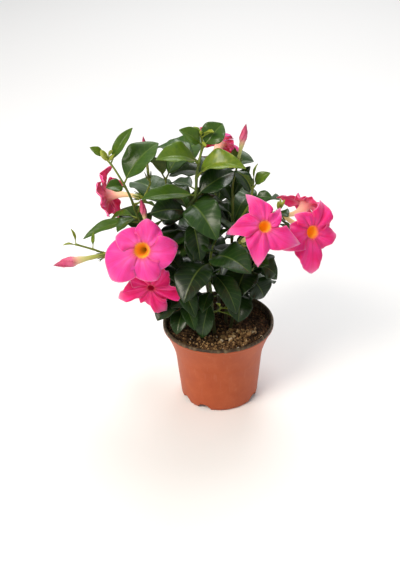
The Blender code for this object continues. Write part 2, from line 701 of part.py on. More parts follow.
def funnel_surface(bloom, u, v):
    """The flower's tube and throat: u runs round it, v from its closed foot to the mouth."""
    out, right, up = bloom_axes(bloom)
    mouth, foot, bend = Vector(bloom["mouth"]), Vector(bloom["foot"]), tube_bend(bloom)
    first = 1 / FUNNEL_ROWS
    share = max(0.0, (v - first) / (1 - first))
    heading = ((bend - foot) * (1 - share) + (mouth - bend) * share).normalized()
    centre = foot * (1 - share) ** 2 + bend * 2 * share * (1 - share) + mouth * share ** 2
    if v < first / 2:
        return (centre - heading * FOOT_BULGE) * MM
    mouth_radius = MOUTH_RADIUS * bloom["throat"]
    radius = bloom["size"] * (TUBE_RADIUS + (mouth_radius - TUBE_RADIUS) * share ** 2.2)
    turn = math.radians(bloom["spin"] - 36 + 360 * u)
    ring = out.rotation_difference(heading) @ (right * math.cos(turn) + up * math.sin(turn))
    return (centre + ring * radius) * MM


def petal_surface(bloom, number, u, v):
    """A petal: u runs across it, v from the mouth to its edge, which is longer on one side."""
    out, right, up = bloom_axes(bloom)
    side = 2 * u - 1
    point = bloom["point"]
    reach, curl, pinch = bloom["petals"][number]
    off_tip = (side - 0.3) / 0.7 if side > 0.3 else (0.3 - side) / 1.3
    edge = LIMB_RADIUS * reach * (1 - (0.24 + 0.2 * point) * off_tip ** (1.8 - 1.1 * point))
    mouth_radius = MOUTH_RADIUS * bloom["throat"]
    radius = mouth_radius + (edge - mouth_radius) * v
    spread = 36 * side * (1 + 0.2 * v) * (1 - pinch * v)
    turn = math.radians(bloom["spin"] + 72 * number + spread + 7 * v)
    out_share = (radius - mouth_radius) / (LIMB_RADIUS - mouth_radius)
    height = (8.0 * out_share - 7.0 * out_share ** 2 + 2.8 * side * out_share
              - 2.6 * side * side * out_share - curl * out_share ** 3)
    across = (right * math.cos(turn) + up * math.sin(turn)) * radius
    return (Vector(bloom["mouth"]) + (across + out * height) * bloom["size"]) * MM


def bloom_body(name, plan, group):
    """A funnel on a narrow tube, and five petals that overlap like a pinwheel's."""
    bm = bmesh.new()
    grid(bm, 5 * PETAL_STEPS, FUNNEL_ROWS, lambda u, v: funnel_surface(plan, u, v))
    for number in range(5):
        grid(bm, PETAL_STEPS, PETAL_STEPS,
             lambda u, v: petal_surface(plan, number, u, v))
    mesh, thickness = sheet(bm, PETAL_THICKNESS)
    made = bpy.data.objects.new(name, mesh)
    group.objects.link(made)
    solid = made.modifiers.new("thickness", "SOLIDIFY")
    solid.thickness = thickness
    solid.offset = 0
    return finish(name, frozen(made, name, group), "bloom")


def bud_body(name, plan, group):
    """A slim pointed bud, widest two thirds of the way along."""
    root, tip, radius = Vector(plan[0]), Vector(plan[1]), plan[2]
    length = (tip - root).length
    shares = [(0, 0), (0, BUD_FOOT), (0.3, 0.5), (0.5, 0.75), (0.64, 1.0), (0.78, 0.85),
              (0.9, 0.45), (1, 0)]
    profile = [(radius * width, length * share) for share, width in reversed(shares)]
    made = turned(name, profile, 8, group)
    turn = (tip - root).to_track_quat("Z", "Y").to_matrix().to_4x4()
    made.matrix_world = Matrix.Translation(root * MM) @ turn
    return finish(name, frozen(made, name, group), "bud")


def spike(root, tip, width, group):
    """A slim pointed sepal with three sides."""
    reach = tip - root
    bm = bmesh.new()
    bmesh.ops.create_cone(bm, cap_ends=True, segments=3, radius1=width / 2 * MM,
                          radius2=0, depth=reach.length * MM)
    turn = reach.to_track_quat("Z", "Y").to_matrix().to_4x4()
    place = Matrix.Translation((root + reach / 2) * MM) @ turn
    bmesh.ops.transform(bm, matrix=place, verts=bm.verts)
    return object_from_bmesh("spike", bm, group)


def small_bud(root, tip, radius, group):
    """A little round-sided bud: a ball drawn out to a point."""
    reach = tip - root
    bm = bmesh.new()
    bmesh.ops.create_uvsphere(bm, u_segments=6, v_segments=4, radius=MM)
    bmesh.ops.scale(bm, vec=(radius, radius, reach.length / 2 + radius), verts=bm.verts)
    turn = reach.to_track_quat("Z", "Y").to_matrix().to_4x4()
    place = Matrix.Translation((root + reach / 2) * MM) @ turn
    bmesh.ops.transform(bm, matrix=place, verts=bm.verts)
    return object_from_bmesh("small_bud", bm, group)


def carried(name):
    """Where a flower or bud starts, the way it points, and its radius there."""
    if name in BLOOMS:
        bloom = BLOOMS[name]
        out = (tube_bend(bloom) - Vector(bloom["foot"])).normalized()
        end = Vector(bloom["foot"]) - out * (FOOT_BULGE + PETAL_THICKNESS / 2)
        return end, out, TUBE_RADIUS * bloom["size"] + PETAL_THICKNESS / 2
    root, tip, radius = BUDS[name]
    return Vector(root), (Vector(tip) - Vector(root)).normalized(), BUD_FOOT * radius


def stalk(points, name, group):
    """A flower stalk that widens under what it carries, with five sepals round that."""
    foot, out, radius = carried(name)
    end = foot - out * GAP
    line = smooth_line(points + [tuple(end - out * 8), tuple(end - out * 2.5)])
    pieces = [tube("stalk", line + [end], [STALK_RADIUS] * len(line) + [radius + 1.9], 0,
                   group)]
    side = out.orthogonal().normalized()
    for number in range(5):
        turned_side = Matrix.Rotation(math.radians(72 * number), 3, out) @ side
        root = end - out * 0.8 + turned_side * (radius + 0.7)
        tip = end + out * (SEPAL_LENGTH - 1) + turned_side * (radius + 2.8)
        pieces.append(spike(root, tip, SEPAL_WIDTH, group))
    return pieces


def shoot_points(plan):
    """Each side shoot's points, which start on the stem."""
    return [([tuple(along(plan["points"], station))] + points, leaves)
            for station, points, leaves in plan.get("shoots", [])]


def stem_woody_parts(plan, group):
    """The stem, its side shoots, flower stalks and small buds."""
    thick, thin = plan["radius"]
    line = smooth_line(plan["points"])
    radii = [thick + (thin - thick) * number / (len(line) - 1) for number in range(len(line))]
    pieces = [tube("stem", line, radii, 2, group)]
    shoots = shoot_points(plan)
    for points, leaves in shoots:
        line = smooth_line(points)
        pieces.append(tube("shoot", line, [STALK_RADIUS] * len(line), 0, group))
    for station, points, name in plan.get("stalks", []):
        if isinstance(station, tuple):
            line, station = shoots[station[0]][0], station[1]
        else:
            line = plan["points"]
        pieces += stalk([tuple(along(line, station))] + points, name, group)
    for station, tip, radius in plan.get("small_buds", []):
        pieces.append(small_bud(along(plan["points"], station), Vector(tip), radius, group))
    return pieces, shoots


def plant(group):
    """Flowers and buds first, then every stem, then the leaves where they cross nothing."""
    taken = []
    for name, plan in BLOOMS.items():
        taken.append((name, object_tree(bloom_body(name, plan, group))))
    for name, plan in BUDS.items():
        taken.append((name, object_tree(bud_body(name, plan, group))))
    for name in ("pot", "soil"):
        taken.append((name, object_tree(bpy.data.objects[name])))
    growing = {}
    for stem, plan in STEMS.items():
        pieces, shoots = stem_woody_parts(plan, group)
        taken += [(stem, object_tree(piece)) for piece in pieces]
        growing[stem] = (pieces, shoots)
    leaves = []
    for stem, plan in STEMS.items():
        leaves += stem_leaves(stem, plan, growing[stem][1])
    draw = random.Random(11)
    for stem, plan in STEMS.items():
        leaves += stem_pairs(stem, plan, draw)
    settled = [placed for placed in (settle(entry, taken) for entry in leaves) if placed]
    for stem in STEMS:
        pieces = growing[stem][0]
        pieces += [leaf(entry, group) for entry in settled if entry["stem"] == stem]
        joined = new_collection(stem + "_pieces")
        for piece in pieces[1:]:
            group.objects.unlink(piece)
            joined.objects.link(piece)
        finish(stem, boolean(pieces[0], stem, "UNION", joined), "stem")


def main():
    clear_scene()
    group = new_collection("mandevilla")
    pot(group)
    soil(group)
    plant(group)


main()
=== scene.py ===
"""The look of the potted mandevilla: fine leaves, stems, flowers, buds, pot and potting mix.

The plant's tables are in millimetres and are the same as the solids' own, and so is the rule
that settles each leaf where it crosses nothing. Every fine piece replaces its solid.
"""
import json
import math
import random

import bmesh
import bpy
from mathutils import Euler, Matrix, Vector, noise
from mathutils.bvhtree import BVHTree

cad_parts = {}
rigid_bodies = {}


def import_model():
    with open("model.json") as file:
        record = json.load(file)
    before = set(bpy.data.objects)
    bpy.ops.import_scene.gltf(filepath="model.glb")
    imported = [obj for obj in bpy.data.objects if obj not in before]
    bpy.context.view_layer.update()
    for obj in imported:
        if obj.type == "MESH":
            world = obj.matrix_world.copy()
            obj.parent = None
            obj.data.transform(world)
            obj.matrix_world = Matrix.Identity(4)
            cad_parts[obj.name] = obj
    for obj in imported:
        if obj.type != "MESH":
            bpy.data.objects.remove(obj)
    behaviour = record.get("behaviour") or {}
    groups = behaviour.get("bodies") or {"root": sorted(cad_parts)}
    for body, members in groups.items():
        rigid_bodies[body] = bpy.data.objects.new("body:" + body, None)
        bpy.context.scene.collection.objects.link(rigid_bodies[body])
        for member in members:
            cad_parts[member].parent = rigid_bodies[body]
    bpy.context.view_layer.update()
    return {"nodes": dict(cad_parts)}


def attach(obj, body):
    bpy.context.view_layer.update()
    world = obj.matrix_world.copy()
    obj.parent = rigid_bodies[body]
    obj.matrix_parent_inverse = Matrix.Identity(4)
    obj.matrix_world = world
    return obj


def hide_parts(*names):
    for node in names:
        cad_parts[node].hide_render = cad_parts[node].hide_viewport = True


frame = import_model()

MM = 0.001

# Pot
RIM_RADIUS = 65.0
POT_HEIGHT = 99.5
BASE_RADIUS = 46.0
WALL = 1.4
LIP_HEIGHT = 5.0
LIP_OVERHANG = 0.9
FLARE_FOOT = 56.0
FLARE_FOOT_RADIUS = 51.3
FLARE_CURVE = 1.4
FLOOR_UNDERSIDE = 3.5
FLOOR_THICKNESS = 2.0
FOOT_WIDTH = 3.0
CENTRE_PAD_RADIUS = 13.0
NOTCH_TURNS = (-24, -59, 61, 96, 181, 216)
NOTCH_WIDTH = 16.0
NOTCH_HEIGHT = 7.0

# Potting mix
SOIL_LEVEL = 90.0
CRUMB_SIZE = 9.0
CRUMB_HEIGHT = 1.6
SOIL_DISH = 1.2
GAP = 0.3
SOIL_SPARE = 1.1

# Leaves and stems
LEAF_CLEARANCE = 2.2
SMALL_LEAF_WIDTH = 11.0
PETIOLE = 7.0
PETIOLE_WIDTH = 1.7
PETIOLE_MOST = 0.3
LEAF_FOLD = 0.42
LEAF_FLATTEN = 0.16
STEM_STEP = 27.0
STALK_RADIUS = 1.1

# A blade's outline: how it widens from its foot and narrows to its tip, and its greatest value,
# the last two again for the fine leaves
LEAF_FOOT = 0.78
LEAF_TIP = 0.92
LEAF_PEAK = 0.3097
FINE_TIP = 0.8
FINE_PEAK = 0.3347

# Flowers, measured along and across their own axis
PETALS = 5
PETAL_ANGLE = 360 / PETALS
TIP_SIDE = 0.3
TUBE_RADIUS = 2.1
FOOT_BULGE = 0.8
MOUTH_RADIUS = 8.6
FUNNEL_CURVE = 2.2
LIMB_RADIUS = 37.0
PETAL_THICKNESS = 0.8
FUNNEL_ROWS = 28
SEPAL_LENGTH = 8.0
SEPAL_WIDTH = 1.9
BUD_FOOT = 0.42

# A stem is a list of points from the soil to the tip, and a station is a place along that
# list: 2.5 is halfway between points 2 and 3.
# leaves: station, tip, width, roll about its own length, arch, age from 0 (young) to 1 (old)
# pairs: first station, last station, how many opposite pairs, heading of the first, length
# shoots: station, points of a side shoot; a shoot's leaves follow it with the same entries
# stalks: station, points of a flower stalk, and the flower or bud that it carries
# small_buds: station, tip and radius
STEMS = {
    "stem_tall": {
        "points": [(-6, 6, 80), (-10, 6, 130), (-17, 4, 180), (-25, 0, 220), (-30, -5, 245),
                   (-22, -7, 262), (-20, -8, 286), (-16, -6, 305), (-13, -4, 318),
                   (-15, -2, 329)],
        "radius": (2.5, 1.0),
        "leaves": [
            (6.6, (-60, -30, 314), 31, -25, 0.16, 0.25), (6.7, (-62, 12, 311), 28, 0, 0.12, 0.45),
            (5.9, (31, -24, 300), 31, 25, 0.20, 0.15), (5.8, (8, 24, 292), 24, 0, 0.12, 0.7),
            (7.9, (-33, -14, 343), 19, -55, 0.10, 0.2), (7.6, (8, 6, 337), 25, 40, 0.10, 0.45),
            (8.6, (-1, -12, 335), 10, 0, 0.05, 0.0), (8.6, (-22, 4, 335), 7, 0, 0.05, 0.0),
            (5.0, (-76, -36, 274), 22, -20, 0.07, 0.4), (4.9, (20, 12, 281), 30, 25, 0.12, 0.8),
            (5.3, (-52, 26, 262), 22, 0, 0.10, 0.8), (4.4, (6, -4, 254), 15, 0, 0.12, 0.6),
            (4.3, (0, -60, 237), 35, 20, 0.20, 0.7), (3.4, (-18, -40, 200), 25, 0, 0.14, 0.95),
            (3.8, (-70, -22, 249), 27, -40, 0.12, 0.85), (3.1, (-26, -44, 205), 20, 0, 0.12, 0.9),
            (2.6, (-58, -26, 226), 24, 0, 0.12, 0.95), (3.5, (-60, 14, 230), 27, -40, 0.12, 0.95),
        ],
        "pairs": (1.3, 3.7, 4, 60, 70),
        "small_buds": [(8.9, (-14, -9, 335), 1.6), (8.2, (-9, -16, 321), 1.6)],
    },
    "stem_left": {
        "points": [(-20, 2, 80), (-34, 2, 130), (-56, 2, 180), (-76, 1, 212), (-86, 0, 235),
                   (-93, -4, 263), (-106, -6, 293), (-114, -8, 306)],
        "radius": (2.2, 0.9),
        "leaves": [
            (5.4, (-61, 16, 314), 34, 20, 0.14, 0.35), (5.3, (-114, -24, 281), 15, -45, 0.10, 0.3),
            (6.4, (-86, 2, 336), 13, 40, 0.10, 0.3), (6.9, (-129, -12, 321), 10, -50, 0.05, 0.2),
            (6.9, (-112, -26, 325), 5, 0, 0.05, 0.0), (3.9, (-119, 8, 227), 16, 0, 0.16, 0.3),
            (3.7, (-149, -14, 222), 16, -15, 0.10, 0.25), (3.9, (-106, -30, 233), 14, 0, 0.10, 0.35),
            (4.6, (-64, -12, 252), 15, -30, 0.10, 0.3),
        ],
        "pairs": (1.3, 3.0, 2, 60, 62),
        "small_buds": [(6.9, (-117, -20, 321), 3.0), (6.7, (-104, -14, 314), 1.8)],
        "stalks": [(4.5, [(-82, 2, 252)], "bloom_left"),
                   (4.1, [(-80, 10, 250)], "bud_upright"),
                   (2.4, [], "bloom_low")],
    },
    "stem_left_front": {
        "points": [(-16, -12, 80), (-28, -15, 120), (-42, -16, 155), (-54, -14, 183),
                   (-64, -14, 200), (-71, -12, 212)],
        "radius": (2.0, 1.2),
        "leaves": [
            (2.9, (-41, -58, 184), 25, 0, 0.12, 0.9), (2.2, (-62, -44, 128), 25, 0, 0.14, 0.9),
            (4.9, (-52, -24, 246), 16, 0, 0.10, 0.5), (3.6, (-39, -42, 178), 20, 0, 0.12, 0.9),
        ],
        "pairs": (1.4, 3.5, 2, 150, 52),
        "shoots": [(4.0, [(-84, -16, 205), (-102, -19, 202), (-120, -22, 202),
                          (-136, -28, 211), (-151, -36, 221)],
                    [(4.9, (-154, -33, 238), 4, 0, 0.05, 0.0),
                     (4.9, (-162, -46, 226), 4, 0, 0.05, 0.0),
                     (3.9, (-131, -18, 228), 5, 0, 0.05, 0.1),
                     (2.0, (-131, -12, 187), 10, 0, 0.10, 0.7)])],
        "stalks": [(4.5, [(-76, -19, 208)], "bloom_front"),
                   (5.0, [], "bud_striped"),
                   ((0, 2.6), [(-118, -23, 200)], "bud_far_left")],
    },
    "stem_front": {
        "points": [(-4, -16, 80), (-6, -18, 118), (-8, -22, 152), (-8, -26, 184),
                   (-6, -30, 208)],
        "radius": (2.2, 1.2),
        "leaves": [
            (3.4, (34, -76, 206), 36, 15, 0.16, 0.75), (3.2, (-36, -80, 174), 38, 0, 0.18, 0.95),
            (2.8, (20, -66, 150), 26, 0, 0.16, 0.9), (1.7, (-19, -44, 103), 22, 0, 0.12, 0.7),
            (2.0, (-17, -56, 146), 15, 0, 0.12, 0.8), (3.9, (-24, -42, 219), 16, 0, 0.10, 0.7),
            (3.9, (13, -34, 235), 16, 0, 0.10, 0.6),
        ],
        "pairs": (1.7, 3.4, 3, 15, 54),
        "shoots": [(1.1, [(0, -23, 126), (4, -26, 133)],
                    [(1.7, (14, -30, 132), 6, 0, 0.05, 0.0),
                     (1.7, (-2, -34, 143), 5, 0, 0.05, 0.0),
                     (0.9, (23, -20, 110), 6, 0, 0.08, 0.1)])],
    },
    "stem_low_left": {
        "points": [(-22, -6, 80), (-34, -12, 112), (-43, -18, 143), (-46, -20, 168),
                   (-44, -16, 190)],
        "radius": (2.0, 1.2),
        "leaves": [
            (1.8, (-68, -42, 127), 27, 0, 0.12, 0.9), (1.5, (-47, -48, 112), 19, 0, 0.12, 0.8),
            (1.8, (-26, -52, 120), 16, 0, 0.12, 0.7), (2.9, (-33, -72, 152), 21, 0, 0.14, 0.9),
            (2.6, (-92, -20, 158), 24, 0, 0.12, 0.95), (3.7, (-76, -6, 176), 21, 0, 0.12, 0.9),
        ],
        "pairs": (2.2, 3.6, 2, 150, 50),
    },
    "stem_low_right": {
        "points": [(12, -6, 80), (18, -9, 112), (25, -12, 142), (35, -12, 166), (45, -10, 184)],
        "radius": (2.0, 1.1),
        "leaves": [
            (2.9, (52, -22, 142), 32, 20, 0.14, 0.95), (3.6, (65, -14, 167), 23, 35, 0.14, 0.85),
            (2.0, (33, -24, 133), 17, 0, 0.12, 0.8), (3.7, (40, -30, 206), 19, 0, 0.12, 0.7),
            (1.9, (54, 2, 140), 22, 0, 0.12, 0.9), (3.0, (58, 20, 186), 21, 0, 0.12, 0.9),
        ],
        "pairs": (2.2, 3.3, 2, 75, 50),
    },
    "stem_mid_right": {
        "points": [(8, 8, 80), (12, 10, 130), (16, 10, 180), (18, 10, 232), (18, 12, 260),
                   (22, 14, 281)],
        "radius": (2.2, 1.0),
        "leaves": [
            (2.9, (-3, 26, 238), 16, 0, 0.10, 0.7), (3.2, (7, 30, 258), 18, 0, 0.10, 0.6),
            (3.4, (38, 26, 283), 18, 0, 0.10, 0.6), (2.7, (-32, 20, 229), 25, 0, 0.12, 0.9),
            (2.4, (24, 30, 250), 25, 0, 0.12, 0.9),
        ],
        "pairs": (1.2, 2.6, 3, 75, 66),
        "shoots": [(2.5, [(25, 4, 226), (34, -2, 244), (38, -4, 257), (40, -4, 276)],
                    [(2.9, (22, 8, 286), 22, 0, 0.12, 0.8),
                     (3.5, (57, -8, 287), 14, 45, 0.08, 0.15),
                     (3.4, (23, -16, 293), 14, 0, 0.08, 0.4),
                     (2.9, (59, -12, 261), 13, 45, 0.10, 0.5),
                     (3.9, (44, -2, 295), 4, 0, 0.05, 0.0),
                     (1.8, (52, -22, 235), 15, 0, 0.10, 0.7)])],
        "stalks": [(4.9, [(23, 14, 285)], "bud_top")],
    },
    "stem_right": {
        "points": [(20, 4, 80), (27, 2, 125), (36, -2, 172), (48, -4, 206), (60, -5, 230),
                   (68, -6, 243)],
        "radius": (2.0, 1.1),
        "leaves": [
            (4.4, (86, -16, 233), 16, 0, 0.12, 0.8), (4.2, (84, 4, 212), 16, 0, 0.12, 0.85),
            (3.6, (80, 18, 226), 18, 0, 0.12, 0.8),
        ],
        "pairs": (1.9, 2.9, 2, 65, 54),
        "small_buds": [(4.9, (66, -12, 256), 1.7), (4.9, (74, -6, 255), 1.6),
                       (4.9, (70, 0, 254), 1.4)],
        "stalks": [(2.9, [(38, -10, 202)], "bloom_right"),
                   (4.7, [(66, -10, 240)], "bloom_far_right"),
                   (4.6, [(68, 0, 238)], "bloom_right_back")],
    },
    "stem_back_left": {
        "points": [(-16, 16, 80), (-30, 28, 125), (-44, 40, 175), (-53, 48, 220),
                   (-57, 52, 258)],
        "radius": (2.2, 1.0),
        "pairs": (1.0, 3.9, 4, 130, 82),
    },
    "stem_back": {
        "points": [(0, 22, 80), (2, 38, 125), (4, 50, 180), (0, 54, 230), (-6, 50, 268)],
        "radius": (2.2, 1.0),
        "pairs": (1.0, 3.6, 4, 80, 76),
        "stalks": [(3.8, [(-12, 40, 262)], "bloom_back")],
    },
    "stem_back_right": {
        "points": [(18, 18, 80), (30, 34, 125), (40, 46, 175), (48, 50, 218)],
        "radius": (2.0, 1.0),
        "pairs": (0.9, 2.9, 4, 58, 54),
    },
}

# mouth and foot: the centre of the flower's mouth and the end of its tube
# facing: the way the mouth looks; spin: the first petal's turn; size: against the usual flower
# throat: how wide the mouth is against the usual; point: from round petals (0) to pointed (1)
# petals: each one's reach, how far its tip bends back, and how much it narrows outwards
BLOOM_PARTS = ("mouth", "foot", "facing", "spin", "size", "throat", "point", "petals")
BLOOMS = {name: dict(zip(BLOOM_PARTS, values)) for name, *values in [
    ("bloom_front", (-78, -60, 225), (-77, -24, 207), (0.02, -0.89, 0.45), 55, 1.0, 1.0, 0.12,
     ((0.86, 2, 0), (0.8, 4, 0), (1.18, 3, 0), (0.9, 4, 0), (0.97, 3, 0))),
    ("bloom_low", (-72, -49, 173), (-69, -9, 184), (-0.12, -0.97, -0.16), 49, 1.14, 0.4, 0.7,
     ((0.8, 2, 0), (0.72, 2, 0), (1.0, 2, 0.5), (0.84, 3, 0), (0.9, 3, 0.15))),
    ("bloom_left", (-120, 25, 250), (-86, 17, 251), (-0.95, 0.22, -0.22), 20, 0.94, 0.9, 0.7,
     ((0.95, 4, 0), (0.85, 5, 0), (0.95, 4, 0.1), (0.92, 5, 0), (0.8, 5, 0))),
    ("bloom_back", (7, 60, 296), (-7, 42, 275), (0.5, 0.66, 0.56), 30, 0.85, 0.9, 0.5,
     ((0.9, 3, 0), (1.08, 3, 0), (0.7, 4, 0), (0.75, 3, 0), (0.85, 4, 0))),
    ("bloom_right", (50, -50, 245), (27, -29, 217), (0.12, -0.86, 0.5), 91, 0.97, 0.78, 0.9,
     ((0.97, 4, 0.1), (1.0, 6, 0.12), (1.06, 4, 0.08), (1.08, 3, 0), (0.64, 3, 0.1))),
    ("bloom_far_right", (103, -22, 223), (72, -7, 237), (0.45, -0.82, 0.36), 101, 1.06, 0.8, 0.45,
     ((0.66, 2, 0), (0.88, 3, 0), (1.1, 3, 0.25), (0.76, 3, 0), (0.88, 3, 0))),
    ("bloom_right_back", (99, 20, 236), (67, 10, 229), (0.47, 0.73, 0.54), 350, 0.88, 0.9, 0.8,
     ((0.95, 3, 0), (0.6, 4, 0), (0.78, 4, 0), (1.0, 3, 0), (0.75, 4, 0))),
]}

# root and tip of each large bud, and its radius
BUDS = {
    "bud_far_left": ((-124, -26, 202), (-176, -44, 200), 5.6),
    "bud_upright": ((-73, 21, 272), (-77, 26, 318), 3.4),
    "bud_top": ((24, 14, 290), (33, 16, 333), 4.0),
    "bud_striped": ((-74, -13, 222), (-80, -17, 264), 3.6),
}

# Fine meshes
POT_STEPS = 120
FLARE_STEPS = 16
LIP_ROUND = 1.7
SHARP_ANGLE = 40
SOIL_STEPS = 168
SOIL_ROWS = 62
SOIL_TOP_SHARE = 0.84
TUBE_SIDES = 12
TUBE_STEP = 3.0
THIN_TUBE_SIDES = 8
BLADE_THICKNESS = 0.6
PETAL_SHEET = 0.55
PETAL_ACROSS = 20
PETAL_ROWS = 22
BUD_SIDES = 30
BUD_ROWS = 60

# Fine leaves: side veins, wavy margin, width against the solids', and how young ones fold
VEIN_PAIRS = 9
VEIN_SLANT = 1.9
VEIN_RELIEF = 0.22
MARGIN_WAVE = 0.09
FULLER = 1.1
YOUNG_AGE = 0.45
YOUNG_FOLD = 0.4
TIP_DROOP = 0.035
SIDE_BOW = 0.03

# A petal's relief in millimetres: its ruffles, folds, rolled edge and drawn-out tip
RUFFLE = 2.6
FINE_RUFFLE = 0.9
FOLD_DEPTH = 3.4
EDGE_ROLL = 1.6
TIP_DROP = 6.0
TIP_REACH = 4.5
TIP_TWIST = 3.0

# Where a petal's groove runs across it, and how much wider it is than the solid's
GROOVE_SIDE = 0.22
OVERLAP = 0.2

# A bud's petals: how far they wind round it, and how much each stands out
WINDING = 3.2
SEAM_RELIEF = 0.16

# Patterns of the surfaces, in repeats to a metre: 500 is one every 2 mm
LEAF_MOTTLE = 160.0
LEAF_CELLS = 1400.0
BARK = 500.0
PETAL_CLOUD = 90.0
BUD_MOTTLE = 420.0
POT_DUST = 55.0
POT_SCUFFS = 240.0
POT_SPECKS = 70.0
PEAT_GRIT = 900.0

# How brightly a flower's thin tube glows: painted light that stands in for light through its wall
PAINTED_THROAT_GLOW = 0.4

# The photograph's view, and the lights
CAMERA_PLACE = (0, -0.8396, 0.6427)
CAMERA_AHEAD = (-0.02065, 0.86073, -0.50864)
CAMERA_YAW = -1.3745
CAMERA_ROLL = -1.7
CAMERA_LENS = 53.8
WORLD_LIGHT = 0.46
KEY_POWER = 18.5
TOP_POWER = 6.0
BACKDROP_POWER = 22.0

# How deep a pink each flower has, how much its petals ruffle, and how far their tips draw out
BLOOM_TONES = {
    "bloom_front": (0.12, 1.3, 0.4), "bloom_low": (0.85, 1.4, 0.9),
    "bloom_left": (0.7, 1.1, 0.6), "bloom_back": (0.4, 1.0, 0.5),
    "bloom_right": (0.4, 0.9, 1.0), "bloom_far_right": (0.65, 1.0, 0.7),
    "bloom_right_back": (0.6, 1.0, 0.7),
}

# Crumbs on the mix: x, y, scatter, how many, length, darkest and lightest tone
CRUMBS = [
    (0, 0, 30, 420, 2.1, 0.05, 0.55),
    (0, -36, 20, 330, 2.6, 0.2, 0.78),
    (11, -22, 6, 50, 5.2, 0.3, 0.9),
    (32, -18, 6, 44, 5.0, 0.3, 0.9),
    (20, -34, 7, 50, 4.8, 0.3, 0.9),
    (2, -46, 9, 30, 4.0, 0.35, 0.8),
    (-24, -38, 9, 40, 3.0, 0.3, 0.8),
    (14, -32, 14, 6, 2.2, 1.0, 1.0),
    (-10, -32, 20, 5, 1.6, 1.0, 1.0),
]


def new_collection(name):
    group = bpy.data.collections.new(name)
    bpy.context.scene.collection.children.link(group)
    return group


def discard(group):
    """Removes a collection and every object in it."""
    for used in list(group.objects):
        bpy.data.objects.remove(used, do_unlink=True)
    bpy.data.collections.remove(group)


def new_object(name, data, group=None):
    """An object in the collection that is given, or else in the scene's own."""
    made = bpy.data.objects.new(name, data)
    (group or bpy.context.scene.collection).objects.link(made)
    return made


def linear(hex_colour):
    """An sRGB hex colour as linear red, green, blue and alpha."""
    channels = [int(hex_colour[i:i + 2], 16) / 255 for i in (0, 2, 4)]
    return [c / 12.92 if c <= 0.04045 else ((c + 0.055) / 1.055) ** 2.4 for c in channels] + [1]


def object_from_bmesh(name, bm, group=None):
    mesh = bpy.data.meshes.new(name)
    bm.to_mesh(mesh)
    bm.free()
    return new_object(name, mesh, group)


def frozen(thing, name, group=None):
    """A plain mesh of what the modifiers make of the object, which is then removed."""
    bpy.context.view_layer.update()
    seen = thing.evaluated_get(bpy.context.evaluated_depsgraph_get())
    mesh = bpy.data.meshes.new_from_object(seen)
    mesh.transform(thing.matrix_world)
    mesh.name = name
    bpy.data.objects.remove(thing, do_unlink=True)
    return new_object(name, mesh, group)


def notched(thing, name, cutters):
    """The object cut by every object of a collection, which is then removed."""
    change = thing.modifiers.new("notches", "BOOLEAN")
    change.operand_type = "COLLECTION"
    change.collection = cutters
    change.operation = "DIFFERENCE"
    change.solver = "EXACT"
    made = frozen(thing, name)
    discard(cutters)
    return made


def wall_radius(height):
    """The outside of the pot's wall: a slight taper, then a flare that ends under the lip."""
    if height < FLARE_FOOT:
        return BASE_RADIUS + (FLARE_FOOT_RADIUS - BASE_RADIUS) * height / FLARE_FOOT
    share = (height - FLARE_FOOT) / (POT_HEIGHT - LIP_HEIGHT - FLARE_FOOT)
    return FLARE_FOOT_RADIUS + (RIM_RADIUS - LIP_OVERHANG - FLARE_FOOT_RADIUS) * share ** FLARE_CURVE


def lumpy(place, size, second, strength):
    """Random relief of one size, with a weaker one of a second size."""
    return noise.noise(place / size) + strength * noise.noise(place / second)


def soil_height(x, y):
    """The mix's surface: crumbs of two sizes, a little lower in the middle."""
    crumbs = lumpy(Vector((x, y, 0)), CRUMB_SIZE, 0.45 * CRUMB_SIZE, 0.5)
    return SOIL_LEVEL + CRUMB_HEIGHT * crumbs + SOIL_DISH * math.hypot(x, y) / RIM_RADIUS


def along(points, station):
    """The point at a station of a smooth curve through the points."""
    last = len(points) - 1
    step = min(int(station), last - 1)
    part = station - step
    before, start, end, after = (Vector(points[min(max(step + i, 0), last)])
                                 for i in (-1, 0, 1, 2))
    return (start + 0.5 * part * (end - before
            + part * (2 * before - 5 * start + 4 * end - after
                      + part * (3 * (start - end) + after - before))))


def smooth_line(points, spacing=STEM_STEP, least=2):
    """Points at even stations of the smooth curve through a stem's points."""
    length = sum((Vector(b) - Vector(a)).length for a, b in zip(points, points[1:]))
    steps = max(least, round(length / spacing))
    return [along(points, (len(points) - 1) * step / steps) for step in range(steps + 1)]


def tube(name, line, radii, extra_sides, group):
    """A stem with four sides or more through the points of a line, with a radius at each."""
    curve = bpy.data.curves.new(name, "CURVE")
    curve.dimensions = "3D"
    curve.bevel_depth = MM
    curve.bevel_resolution = extra_sides // 2
    curve.use_fill_caps = True
    spline = curve.splines.new("POLY")
    spline.points.add(len(line) - 1)
    for point, place, radius in zip(spline.points, line, radii):
        point.co = (*(place * MM), 1)
        point.radius = radius
    made = frozen(new_object(name, curve, group), name, group)
    bm = bmesh.new()
    bm.from_mesh(made.data)
    bmesh.ops.remove_doubles(bm, verts=bm.verts, dist=0.000001)
    bm.to_mesh(made.data)
    bm.free()
    return made


def lay(bm, across, rows, shape, **marks):
    """A grid laid on shape(u, v), whose points carry each mark's value or rule.

    Both u, across the grid, and v, along its rows, run from 0 to 1.
    """
    new = bmesh.ops.create_grid(bm, x_segments=across, y_segments=rows, size=0.5)["verts"]
    for vertex in new:
        u, v = vertex.co.x + 0.5, vertex.co.y + 0.5
        vertex.co = shape(u, v)
        for name, rule in marks.items():
            layer = bm.verts.layers.float[name]
            vertex[layer] = rule(u, v) if callable(rule) else rule


def towards(first, second, turn):
    """The direction that lies an angle from the first, towards the second."""
    return first * math.cos(turn) + second * math.sin(turn)


def petiole_part(leaf):
    """The share of a leaf's length that is its petiole."""
    return min(PETIOLE_MOST, PETIOLE / leaf["length"])


